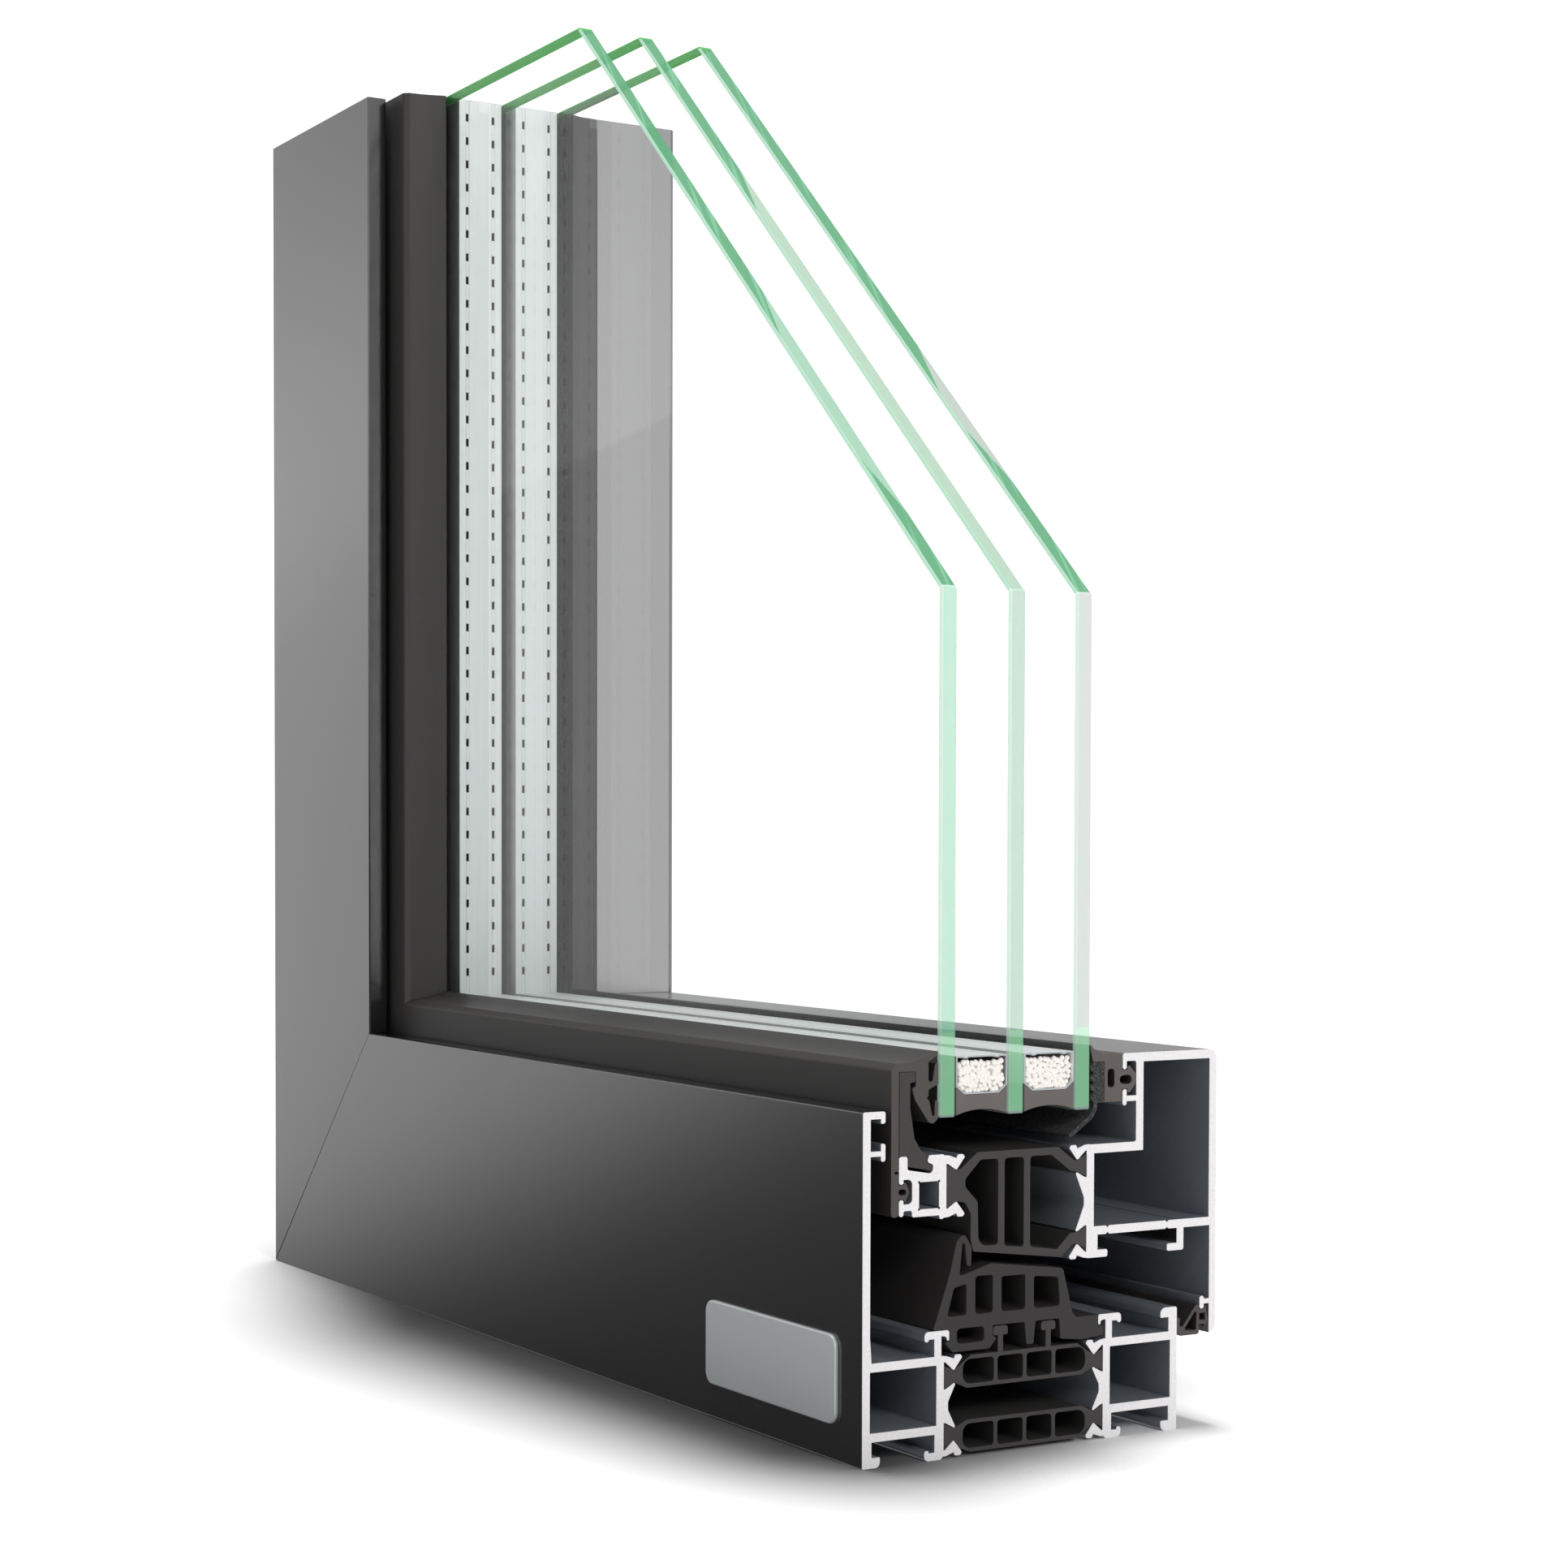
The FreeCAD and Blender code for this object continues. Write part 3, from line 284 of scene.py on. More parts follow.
def sawn(face):
    """Whether a face is one of the sample's two cut ends."""
    middle = face.calc_center_median()
    right = face.normal.x > SQUARE and abs(middle.x - SILL_END) < TOUCHING
    return right or (face.normal.z > SQUARE and abs(middle.z - JAMB_END) < TOUCHING)


def mitred(face):
    """Whether a face is the leg's 45 degree cut in the corner."""
    return abs(face.normal.dot(MITRE_WAY)) > MITRE


def sharp_rims(bm, wanted):
    """Sharp edges round the faces that a test picks out."""
    lit_rims = {edge for face in bm.faces if wanted(face) for edge in face.edges}
    return [edge for edge in lit_rims if len(edge.link_faces) == 2 and edge.calc_face_angle() > SHARP_FROM]


def long_corners(bm):
    """Outer corners that run along a leg between two faces wide enough to lose a little."""
    corners = []
    for edge in bm.edges:
        length = edge.calc_length()
        if length < LONG_FROM or len(edge.link_faces) != 2 or not edge.is_convex:
            continue
        narrowest = min(face.calc_area() for face in edge.link_faces) / length
        if narrowest > LONG_MARGIN * LONG_EDGE and edge.calc_face_angle() > CORNER_FROM:
            corners.append(edge)
    return corners


def bevelled(bm, edges, width, segments=1, clamp=True):
    """Takes a little off some edges."""
    bmesh.ops.bevel(
        bm, geom=edges, offset=width, segments=segments, affect="EDGES", profile=0.5, clamp_overlap=clamp
    )


def new_piece(title, mesh):
    """An object in the scene, at the origin."""
    piece = bpy.data.objects.new(title, mesh)
    bpy.context.collection.objects.link(piece)
    return piece


def applied(piece):
    """Turns a piece with its modifiers into a plain mesh."""
    graph = bpy.context.evaluated_depsgraph_get()
    shown = piece.evaluated_get(graph)
    mesh = bpy.data.meshes.new_from_object(shown, preserve_all_data_layers=True, depsgraph=graph)
    piece.modifiers.clear()
    piece.data = mesh


def dressed(node, ending, material, slot, width):
    """Stands for one CAD solid: its triangles joined, its sawn edges broken and its rounds smooth."""
    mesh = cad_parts[node].data.copy()
    if "custom_normal" in mesh.attributes:
        mesh.attributes.remove(mesh.attributes["custom_normal"])
    bm = bmesh.new()
    bm.from_mesh(mesh)
    bmesh.ops.remove_doubles(bm, verts=bm.verts, dist=SAME_POINT)
    bmesh.ops.dissolve_limit(bm, angle_limit=FLAT_WITHIN, verts=bm.verts, edges=bm.edges)
    if slot == "powder_coated_aluminium":
        bevelled(bm, long_corners(bm), LONG_EDGE, segments=2)
        seams = [edge for edge in sharp_rims(bm, mitred) if edge.calc_length() > SEAM_FROM]
        bevelled(bm, seams, MITRE_EDGE, clamp=False)
    elif slot == "gasket_rubber":
        bevelled(bm, sharp_rims(bm, mitred), SEAM_EDGE, clamp=False)
    bevelled(bm, sharp_rims(bm, sawn), width)
    for edge in bm.edges:
        edge.smooth = len(edge.link_faces) == 2 and edge.calc_face_angle() < SMOOTH_TO
    for face in bm.faces:
        face.smooth = True
    bm.to_mesh(mesh)
    bm.free()
    mesh.materials.clear()
    mesh.materials.append(material)
    piece = new_piece(f"{node}_{ending}", mesh)
    even = piece.modifiers.new("even", "WEIGHTED_NORMAL")
    even.keep_sharp = True
    applied(piece)
    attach(piece, "root")
    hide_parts(node)


ALUMINIUM = coated_aluminium()
for shell in ("frame_outer_shell", "frame_inner_shell", "sash_outer_shell", "sash_inner_shell"):
    for leg in LEGS:
        dressed(f"{shell}_{leg}", "sawn", ALUMINIUM, "powder_coated_aluminium", SAWN_EDGE)

# Corner cleats, which hold the legs together from inside their chambers: pieces of extruded
# aluminium, cut to length and left as the mill gives them. They show from no side.
CLEAT_GREY = (150, 152, 154)
MILL_ALONG = 60.0
MILL_LINES = 3000.0
FINE_RELIEF = 0.01 * MM


def mill_aluminium():
    """Bare extruded metal with faint lines along the press direction."""
    material, nodes = new_material("mill aluminium")
    x, y, z = nodes.place()
    lines = nodes.noise(nodes.vector(x * MILL_ALONG, y * MILL_LINES, z * MILL_ALONG), 1.0)
    nodes.finish({
        "Base Color": nodes.mix(lines, paint(CLEAT_GREY, -12), paint(CLEAT_GREY)),
        "Metallic": 0.8,
        "Roughness": 0.4 + lines * 0.1,
        "Normal": nodes.bump(lines, FINE_RELIEF),
    })
    return material


MILL = mill_aluminium()
for name in ("frame_outer_cleat", "frame_inner_cleat", "sash_cleat"):
    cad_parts[name].material_slots[0].material = MILL

# Insulating bars, sash insulator and glazing bead: glass-filled plastic. It is extruded, rolled
# or clipped into the profiles and sawn with them, so the cuts are dull and a little lighter,
# with specks of fibre.
PLASTIC_SKIN = (50, 49, 48)
PLASTIC_CUT = (60, 57, 57)
PLASTIC_ROUGHNESS = 0.5
FIBRE_SCALE = 3000.0
CUT_ROUGHNESS = 0.8
SPECK_SHARE = 0.6
SPECK_ROUGHNESS = 0.08


def dark_polymer(title, skin, cut_colour, roughness, speck_scale, speck_height):
    """Dark plastic or rubber with a plain skin and a duller, lighter cut."""
    material, nodes = new_material(title)
    x, y, z = nodes.place()
    cut, marks = saw_cuts(nodes, x, y, z)
    specks = nodes.noise(nodes.point(), speck_scale, detail=3.0)
    saw = nodes.noise(marks, 1.0)
    plain = nodes.mix(specks, paint(skin, -3), paint(skin))
    marked = specks * SPECK_SHARE + saw * (1 - SPECK_SHARE)
    dull = nodes.mix(marked, paint(cut_colour, -7), paint(cut_colour, 5))
    nodes.finish({
        "Base Color": nodes.mix(cut, plain, dull),
        "Roughness": roughness + (CUT_ROUGHNESS - roughness) * cut + (specks - 0.5) * SPECK_ROUGHNESS,
        "Specular IOR Level": 0.3,
        "Normal": nodes.bump(specks + saw * cut, speck_height),
    })
    return material


PLASTIC = dark_polymer(
    "insulating plastic", PLASTIC_SKIN, PLASTIC_CUT, PLASTIC_ROUGHNESS, FIBRE_SCALE, FINE_RELIEF
)
for name in ("frame_lower_bar", "frame_upper_bar", "sash_insulator", "glazing_bead"):
    for leg in LEGS:
        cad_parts[f"{name}_{leg}"].material_slots[0].material = PLASTIC

# Gaskets: extruded rubber with a silky skin, pressed into their grooves and mitred in the
# corner. The cover gasket runs round in front of the glass. Each is a rubber of its own.
RUBBER_SKIN = (51, 49, 48)
RUBBER_CUTS = {
    "centre_gasket": (50, 47, 47),
    "stop_gasket": (72, 68, 66),
    "outer_glazing_gasket": (74, 70, 68),
    "inner_glazing_gasket": (90, 85, 83),
}
RUBBER_ROUGHNESS = 0.48
RUBBER_SPECKS = 1800.0
RUBBER_HEIGHT = 0.008 * MM
RUBBER_EDGE = 0.12 * MM
for gasket, cut_colour in RUBBER_CUTS.items():
    title = gasket.replace("_", " ")
    rubber = dark_polymer(title, RUBBER_SKIN, cut_colour, RUBBER_ROUGHNESS, RUBBER_SPECKS, RUBBER_HEIGHT)
    for leg in LEGS:
        dressed(f"{gasket}_{leg}", "skin", rubber, "gasket_rubber", RUBBER_EDGE)

# Foam strip behind the glass: closed-cell rubber foam, which is laid in the sash's rebate and
# closes it. Where the foam is cut its cells are open, and show as pale rims and dark pits, which
# are painted light and shade.
FOAM_PIT_SHADE = (27, 27, 28)
FOAM_RIM_LIGHT = (84, 84, 85)
CELL_SCALE = 2600.0
CELL_RIM = (0.35, 0.75)
CELL_PATCHES = 900.0
CELL_DEPTH = 0.15 * MM


def foam_rubber():
    """Cut cells: painted light on pale rims and painted shade in dark pits."""
    material, nodes = new_material("foam rubber")
    point = nodes.point()
    cells = nodes.node("ShaderNodeTexVoronoi", {"feature": "F1"}, {"Vector": point, "Scale": CELL_SCALE})
    lit_rims = nodes.ramp(cells, *CELL_RIM) * nodes.noise(point, CELL_PATCHES)
    nodes.finish({
        "Base Color": nodes.mix(lit_rims, paint(FOAM_PIT_SHADE), paint(FOAM_RIM_LIGHT)),
        "Roughness": 0.9,
        "Normal": nodes.bump(cells, CELL_DEPTH),
    })
    return material


FOAM = foam_rubber()
for leg in LEGS:
    dressed(f"glazing_foam_{leg}", "cells", FOAM, "foam_rubber", RUBBER_EDGE)

# Edge sealant between the panes: a dull mass of two parts that is gunned in behind the spacers
# and drawn off to a hollow, with soft ripples from the tool.
SEALANT_GREY = (92, 86, 84)
RIPPLE_SCALE = 120.0
RIPPLE_HEIGHT = 0.08 * MM


def sealant():
    """Dull sealant with soft ripples."""
    material, nodes = new_material("edge sealant")
    ripples = nodes.noise(nodes.point(), RIPPLE_SCALE, detail=4.0)
    nodes.finish({
        "Base Color": nodes.mix(ripples, paint(SEALANT_GREY, -10), paint(SEALANT_GREY)),
        "Roughness": 0.62,
        "Normal": nodes.bump(ripples, RIPPLE_HEIGHT),
    })
    return material


SEALANT = sealant()
for place in ("outer", "inner"):
    dressed(f"{place}_edge_sealant", "bead", SEALANT, "edge_sealant", RUBBER_EDGE)

# Three panes of float glass, cut to the sample's slant, with ground edges. Light that runs along
# inside a pane comes out green at its edges and arrises, and the edges' colours paint that light.
# The slanted edge is deep green with painted streaks of light, and painted pale over the part of
# its length where it looks through to another face.
HEAD_RUN = 153 * MM
END_RISE = 167 * MM
SLANT = Vector((SILL_END - LEFT - HEAD_RUN, 0.0, END_RISE - JAMB_END))
SLANT_LENGTH = SLANT.length
SLANT_WAY = SLANT.normalized()
STREAK_LEAN = 0.115
STREAKS_ALONG = 24.0
STREAKS_ACROSS = 0.4
STREAKS_APART = 900.0
STREAK_FROM = (0.55, 0.62)
PALE_EDGE = 0.003
FACING = 0.9
STRIP = 0.16
NEAR = 0.5 * MM
SIGHT_LINE = 82.0 * MM
TOP_GREEN = (0.085, 0.42, 0.10, 1.0)
SLANT_DEEP = (0.09, 0.31, 0.155, 1.0)
SLANT_LIGHT_STREAK = (0.15, 0.42, 0.25, 1.0)
ARRIS_MINT = (0.38, 0.60, 0.46, 1.0)
SEATED_SHADE_GREEN = (0.20, 0.26, 0.24, 1.0)
SIGHT_LINE_LIGHT_GREEN = (0.28, 0.63, 0.37, 1.0)
PANES = {
    "outer_pane": {
        "end": (0.22, 0.55, 0.36, 1.0),
        "pale": (0.29, 0.49, 0.36, 1.0),
        "pale from": 0.507,
        "pale to": 0.804,
    },
    "middle_pane": {
        "end": (0.22, 0.44, 0.30, 1.0),
        "pale": (0.36, 0.50, 0.39, 1.0),
        "pale from": 0.264,
        "pale to": 1.2,
    },
    "inner_pane": {
        "end": (0.37, 0.42, 0.38, 1.0),
        "pale": (0.39, 0.46, 0.41, 1.0),
        "pale from": 0.582,
        "pale to": 0.739,
    },
}
FACE_TINT = (0.996, 0.999, 0.998, 1.0)
FACE_IOR = 1.46
FACE_MIRROR = 0.75
END_CLEAR = 0.38
SLANT_CLEAR = 0.05


def float_glass(name, pane):
    """Clear faces that mirror a little, and green edges that let some light through."""
    material, nodes = new_material(name)
    low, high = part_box(name)
    x, y, z = nodes.place()
    top = z > high.z - NEAR
    end = x > high.x - NEAR
    seat = (x < low.x + NEAR).larger(z < low.z + NEAR)
    along = ((x - LEFT - HEAD_RUN) * SLANT_WAY.x + (z - JAMB_END) * SLANT_WAY.z) * (1 / SLANT_LENGTH)
    across = (y - low.y) * (1 / (high.y - low.y))
    lean = along + across * STREAK_LEAN
    streaks = nodes.vector(lean * STREAKS_ALONG, across * STREAKS_ACROSS, low.y * STREAKS_APART)
    # Painted reflections: streaks of lighter green along the slanted edge, where reflections inside the glass
    # change.
    light_streak = nodes.ramp(nodes.noise(streaks, 1.0), *STREAK_FROM)
    slant = nodes.mix(light_streak, SLANT_DEEP, SLANT_LIGHT_STREAK)
    # Painted light: the slanted edge is paler over the stretch where it looks through to another face.
    begin = pane["pale from"] + STREAK_LEAN
    begun = nodes.ramp(lean, begin - PALE_EDGE, begin + PALE_EDGE)
    last = along - (across - STRIP) * STREAK_LEAN
    ended = nodes.ramp(last, pane["pale to"] - PALE_EDGE, pane["pale to"] + PALE_EDGE)
    slant = nodes.mix(begun * (1 - ended), slant, pane["pale"])
    # Painted light: the end edges take another green below the sight line.
    edge = nodes.mix(end, slant, nodes.mix(z < SIGHT_LINE, pane["end"], SIGHT_LINE_LIGHT_GREEN))
    # Painted light: a mint band along the arris, where light comes out of the glass.
    edge = nodes.mix(across < STRIP, edge, ARRIS_MINT)
    edge = nodes.mix(top, edge, TOP_GREEN)
    # Painted shade: edges that sit in the frame are a dark grey-green.
    edge = nodes.mix(seat, edge, SEATED_SHADE_GREEN)
    body = nodes.node("ShaderNodeBsdfPrincipled", None, {
        "Base Color": edge,
        "Roughness": 0.5,
        "Specular IOR Level": 0.1,
    })
    clear = nodes.node("ShaderNodeBsdfTransparent", None, {0: FACE_TINT})
    gloss = nodes.node("ShaderNodeBsdfGlossy", None, {"Roughness": 0.0})
    through = (SLANT_CLEAR + (END_CLEAR - SLANT_CLEAR) * end) * (1 - top) * (1 - seat)
    leaving = nodes.node("ShaderNodeNewGeometry", output="Backfacing")
    mirror = nodes.node("ShaderNodeFresnel", None, {0: FACE_IOR}) * (1 - leaving) * FACE_MIRROR
    flat = abs(nodes.normal(1)) > FACING
    nodes.surface(nodes.blend(flat, nodes.blend(through, body, clear), nodes.blend(mirror, clear, gloss)))
    return material


for name, pane in PANES.items():
    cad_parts[name].material_slots[0].material = float_glass(name, pane)

# Spacers between the panes: thin sheet metal, rolled to a tube and bent at the corner, with two
# grooves in the face that shows. A row of slots is rolled into each groove, through which the
# filling dries the cavity.
SPACER_TALL = 7.4 * MM
SPACER_WALL = 0.3 * MM
SPACER_CUT = 1.5 * MM
CUT_LEAN = 1.3
CUT_LOSS = 0.4
GROOVE_INSET = 2.3 * MM
GROOVE_HALF = 0.6 * MM
GROOVE_DEPTH = 0.22 * MM
SLOT_LENGTH = 2.0 * MM
SLOT_WIDTH = 0.72 * MM
SLOT_PITCH = 5.95 * MM
SLOT_COUNT = 38
FIRST_SLOT = 83.35 * MM
SLOT_INPUTS = {
    "Geometry": "Geometry",
    "Pitch": "Float",
    "Slot length": "Float",
    "Slot width": "Float",
    "Slot depth": "Float",
    "First row": "Vector",
    "Second row": "Vector",
    "Count": "Int",
    "Metal": "Material",
}
SPACER_SILVER = (218, 223, 222)
SPACER_LIT_PALE = (244, 246, 246)
SPACER_LIT_BUTYL = (146, 143, 145)
SPACER_RIM = (158, 163, 166)
SPACER_GLINT = 0.15
ROLLED_ALONG = 20.0
ROLLED_LINES = 2500.0


def spacer_metal():
    """Satin rolled metal; painted light on its sides: grey where butyl bonds it to a pane, paler behind clear
    glass.
    """
    material, nodes = new_material("spacer metal")
    x, y, z = nodes.place()
    rolled = nodes.noise(nodes.vector(x * ROLLED_ALONG, y * ROLLED_LINES, z * ROLLED_ALONG), 1.0)
    side = abs(nodes.normal(1)) > FACING
    cut = (x > SILL_END - SAWN_EDGE).larger(z > JAMB_END - SAWN_EDGE)
    # Painted light: the sides are lightened, to a light butyl grey in front of the middle pane and near white
    # behind it.
    lit_sides = nodes.mix(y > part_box("middle_pane")[0].y, paint(SPACER_LIT_BUTYL), paint(SPACER_LIT_PALE))
    face = nodes.mix(rolled, paint(SPACER_SILVER, -12), paint(SPACER_SILVER))
    face = nodes.mix(cut, face, paint(SPACER_RIM))
    nodes.finish({
        "Base Color": nodes.mix(side, face, lit_sides),
        "Metallic": SPACER_GLINT * (1 - side),
        "Roughness": 0.42,
        "Normal": nodes.bump(rolled, FINE_RELIEF),
    })
    return material


def spacer_outline(low, high, inset):
    """Section points (y, z) of a spacer, with the grooves in its top, moved inwards by an inset."""
    front = low.y + inset
    back = high.y - inset
    base = low.z + inset
    top = high.z - inset
    cut = SPACER_CUT - CUT_LOSS * inset
    points = [
        (front, base + cut),
        (front + cut * CUT_LEAN, base),
        (back - cut * CUT_LEAN, base),
        (back, base + cut),
        (back, top),
    ]
    for middle in (high.y - GROOVE_INSET, low.y + GROOVE_INSET):
        points.append((middle + GROOVE_HALF, top))
        points.append((middle + GROOVE_HALF / 2, top - GROOVE_DEPTH))
        points.append((middle - GROOVE_HALF / 2, top - GROOVE_DEPTH))
        points.append((middle - GROOVE_HALF, top))
    points.append((front, top))
    return points


def round_the_corner(bm, points, stops=()):
    """Rings of a section from the jamb's end, down to the mitre and along to the sill's end.

    Further rings stand at the stops, distances from the corner that both legs share."""
    down = [[bm.verts.new((z + LEFT, y, stop)) for y, z in points] for stop in (*stops, JAMB_END)]
    mitre = [bm.verts.new((z + LEFT, y, z)) for y, z in points]
    along = [[bm.verts.new((stop + LEFT, y, z)) for y, z in points] for stop in (*stops, SILL_END - LEFT)]
    return [*reversed(down), mitre, *along]


def walls(bm, rings):
    """Faces from each ring to the next."""
    for near, far in zip(rings, rings[1:]):
        for i in range(len(near)):
            bm.faces.new((near[i - 1], near[i], far[i], far[i - 1]))


def closed_mesh(bm, title):
    """A mesh whose faces point outwards."""
    bmesh.ops.recalc_face_normals(bm, faces=bm.faces)
    mesh = bpy.data.meshes.new(title)
    bm.to_mesh(mesh)
    bm.free()
    return mesh


def spacer_tube(name, low, high):
    """The spacer's tube without its slots."""
    stops = [FIRST_SLOT + (i - 0.5) * SLOT_PITCH for i in range(SLOT_COUNT)]
    bm = bmesh.new()
    outer = round_the_corner(bm, spacer_outline(low, high, 0.0), stops)
    inner = round_the_corner(bm, spacer_outline(low, high, SPACER_WALL), stops)
    walls(bm, outer)
    walls(bm, inner)
    for end in (0, -1):
        walls(bm, [outer[end], inner[end]])
    return closed_mesh(bm, name)


def geometry_tree(title, inputs):
    """A Geometry Nodes tree that has only its inputs yet, and a value for each of them."""
    tree = bpy.data.node_groups.new(title, "GeometryNodeTree")
    for name, kind in inputs.items():
        tree.interface.new_socket(name, in_out="INPUT", socket_type=f"NodeSocket{kind}")
    tree.interface.new_socket("Geometry", in_out="OUTPUT", socket_type="NodeSocketGeometry")
    nodes = Nodes(tree)
    return nodes, {name: nodes.node("NodeGroupInput", output=name) for name in inputs}


def slotting_tree():
    """Geometry nodes that cut two rows of slots along both legs of a spacer."""
    nodes, given = geometry_tree("spacer slots", SLOT_INPUTS)
    size = nodes.vector(given["Slot length"], given["Slot width"], given["Slot depth"])
    slot = nodes.node("GeometryNodeMeshCube", None, {"Size": size})
    rows = []
    for leg in LEGS:
        for row in ("First row", "Second row"):
            start = given[row]
            step = nodes.vector(given["Pitch"], 0.0, 0.0)
            turn = (0.0, 0.0, 0.0)
            if leg == "jamb":
                x, y, z = nodes.split(start)
                start = nodes.vector(z + LEFT, y, x - LEFT)
                step = nodes.vector(0.0, 0.0, given["Pitch"])
                turn = (0.0, -math.pi / 2, 0.0)
            spots = {"Count": given["Count"], "Start Location": start, "Offset": step}
            line = nodes.node("GeometryNodeMeshLine", None, spots)
            placed = {"Points": line, "Instance": slot, "Rotation": turn}
            rows.append(nodes.node("GeometryNodeInstanceOnPoints", None, placed))
    joined = nodes.node("GeometryNodeJoinGeometry", None, {0: rows})
    cutters = nodes.node("GeometryNodeRealizeInstances", None, {0: joined})
    solids = {"Mesh 1": given["Geometry"], "Mesh 2": cutters}
    cut = nodes.node("GeometryNodeMeshBoolean", {"operation": "DIFFERENCE"}, solids)
    plain = nodes.node("GeometryNodeRealizeInstances", None, {0: cut})
    metal = nodes.node("GeometryNodeSetMaterial", None, {"Geometry": plain, "Material": given["Metal"]})
    nodes.node("NodeGroupOutput", None, {0: metal})
    return nodes.tree


def grown(piece, tree, values):
    """Runs a Geometry Nodes tree on a piece, with its inputs given by name, and keeps the mesh."""
    modifier = piece.modifiers.new(tree.name, "NODES")
    modifier.node_group = tree
    for item in tree.interface.items_tree:
        if item.item_type == "SOCKET" and item.in_out == "INPUT" and item.name in values:
            modifier[item.identifier] = values[item.name]
    applied(piece)


SPACER = spacer_metal()
SLOTTING = slotting_tree()
for place in ("outer", "inner"):
    name = f"{place}_spacer"
    low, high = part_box(name)
    high = Vector((high.x, high.y, low.z + SPACER_TALL))
    spacer = new_piece(f"{name}_slotted", spacer_tube(name, low, high))
    row_start = FIRST_SLOT + LEFT
    row_height = high.z - GROOVE_DEPTH
    grown(spacer, SLOTTING, {
        "Pitch": SLOT_PITCH,
        "Slot length": SLOT_LENGTH,
        "Slot width": SLOT_WIDTH,
        "Slot depth": 3 * SPACER_WALL,
        "First row": (row_start, low.y + GROOVE_INSET, row_height),
        "Second row": (row_start, high.y - GROOVE_INSET, row_height),
        "Count": SLOT_COUNT,
        "Metal": SPACER,
    })
    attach(spacer, "root")
    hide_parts(name)

# Desiccant in the spacers: round beads of a pale drying clay, poured in and packed. The sawn
# ends show them as a rough face of beads, held a little below the slotted wall.
BEAD_CREAM = (240, 236, 231)
BEAD_SHADE = (140, 122, 112)
PIT_SCALE = 2600.0
PIT_DEPTH = 0.05 * MM
BEAD_RADIUS = 0.68 * MM
BEAD_SPACING = 0.72 * MM
SMALLEST_BEAD = 0.72
MOST_BEADS = 4e7
BEAD_SEED = 7
BEAD_INPUTS = {
    "Geometry": "Geometry",
    "Radius": "Float",
    "Spacing": "Float",
    "Seed": "Int",
    "Clay": "Material",
}
FILLING_TALL = 6.7 * MM
FILLING_CUT = 1.2 * MM
HEADROOM = 0.5 * MM
SETTLED = 2.2 * MM
CREVICE = 0.9 * MM
BEADED_SHARE = 0.91
WALL_CORNERS = 4


def bead_clay():
    """Chalky clay with small pits, and painted shade in the gaps behind the first beads."""
    material, nodes = new_material("desiccant beads")
    x, y, z = nodes.place()
    pits = nodes.noise(nodes.point(), PIT_SCALE, detail=3.0)
    depth = (SILL_END - x).smaller(JAMB_END - z)
    gap_shade = nodes.ramp(depth, 0.5 * CREVICE, CREVICE)
    nodes.finish({
        "Base Color": nodes.mix(gap_shade, paint(BEAD_CREAM), paint(BEAD_SHADE)),
        "Roughness": 0.95,
        "Normal": nodes.bump(pits, PIT_DEPTH),
    })
    return material


def bead_tree():
    """Geometry nodes that set beads on random points of a face."""
    nodes, given = geometry_tree("desiccant beads", BEAD_INPUTS)
    points = nodes.node("GeometryNodeDistributePointsOnFaces", {"distribute_method": "POISSON"}, {
        "Mesh": given["Geometry"],
        "Distance Min": given["Spacing"],
        "Density Max": MOST_BEADS,
        "Seed": given["Seed"],
    })
    bead = nodes.node("GeometryNodeMeshIcoSphere", None, {"Subdivisions": 2, "Radius": given["Radius"]})
    sizes = {2: SMALLEST_BEAD, 3: 1.0, "Seed": given["Seed"]}
    size = nodes.node("FunctionNodeRandomValue", {"data_type": "FLOAT"}, sizes, 1)
    spots = {"Points": points, "Instance": bead, "Scale": size}
    placed = nodes.node("GeometryNodeInstanceOnPoints", None, spots)
    real = nodes.node("GeometryNodeRealizeInstances", None, {0: placed})
    soft = nodes.node("GeometryNodeSetShadeSmooth", None, {0: real})
    joined = nodes.node("GeometryNodeJoinGeometry", None, {0: [given["Geometry"], soft]})
    clay = nodes.node("GeometryNodeSetMaterial", None, {"Geometry": joined, "Material": given["Clay"]})
    nodes.node("NodeGroupOutput", None, {0: clay})
    return nodes.tree


def filling(name, headroom, back):
    """The filling's body, settled below the spacer's top by a headroom and cut back at both ends."""
    low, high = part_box(name)
    top = low.z + FILLING_TALL - headroom
    points = [
        (low.y, low.z + FILLING_CUT),
        (low.y + FILLING_CUT * CUT_LEAN, low.z),
        (high.y - FILLING_CUT * CUT_LEAN, low.z),
        (high.y, low.z + FILLING_CUT),
        (high.y, top),
        (low.y, top),
    ]
    bm = bmesh.new()
    rings = round_the_corner(bm, points)
    for vert in rings[0]:
        vert.co.z -= back
    for vert in rings[-1]:
        vert.co.x -= back
    walls(bm, rings)
    for end in (rings[0], rings[-1]):
        bm.faces.new(end)
    return closed_mesh(bm, name)


def end_faces(name):
    """The two flat ends of the filling as a mesh of their own, a little inside its outline."""
    mesh = filling(name, HEADROOM, BEAD_RADIUS)
    bm = bmesh.new()
    bm.from_mesh(mesh)
    walled = [face for face in bm.faces if len(face.verts) <= WALL_CORNERS]
    bmesh.ops.delete(bm, geom=walled, context="FACES")
    for face in bm.faces:
        middle = face.calc_center_median()
        for vert in face.verts:
            vert.co = middle + (vert.co - middle) * BEADED_SHARE
    bm.to_mesh(mesh)
    bm.free()
    return mesh


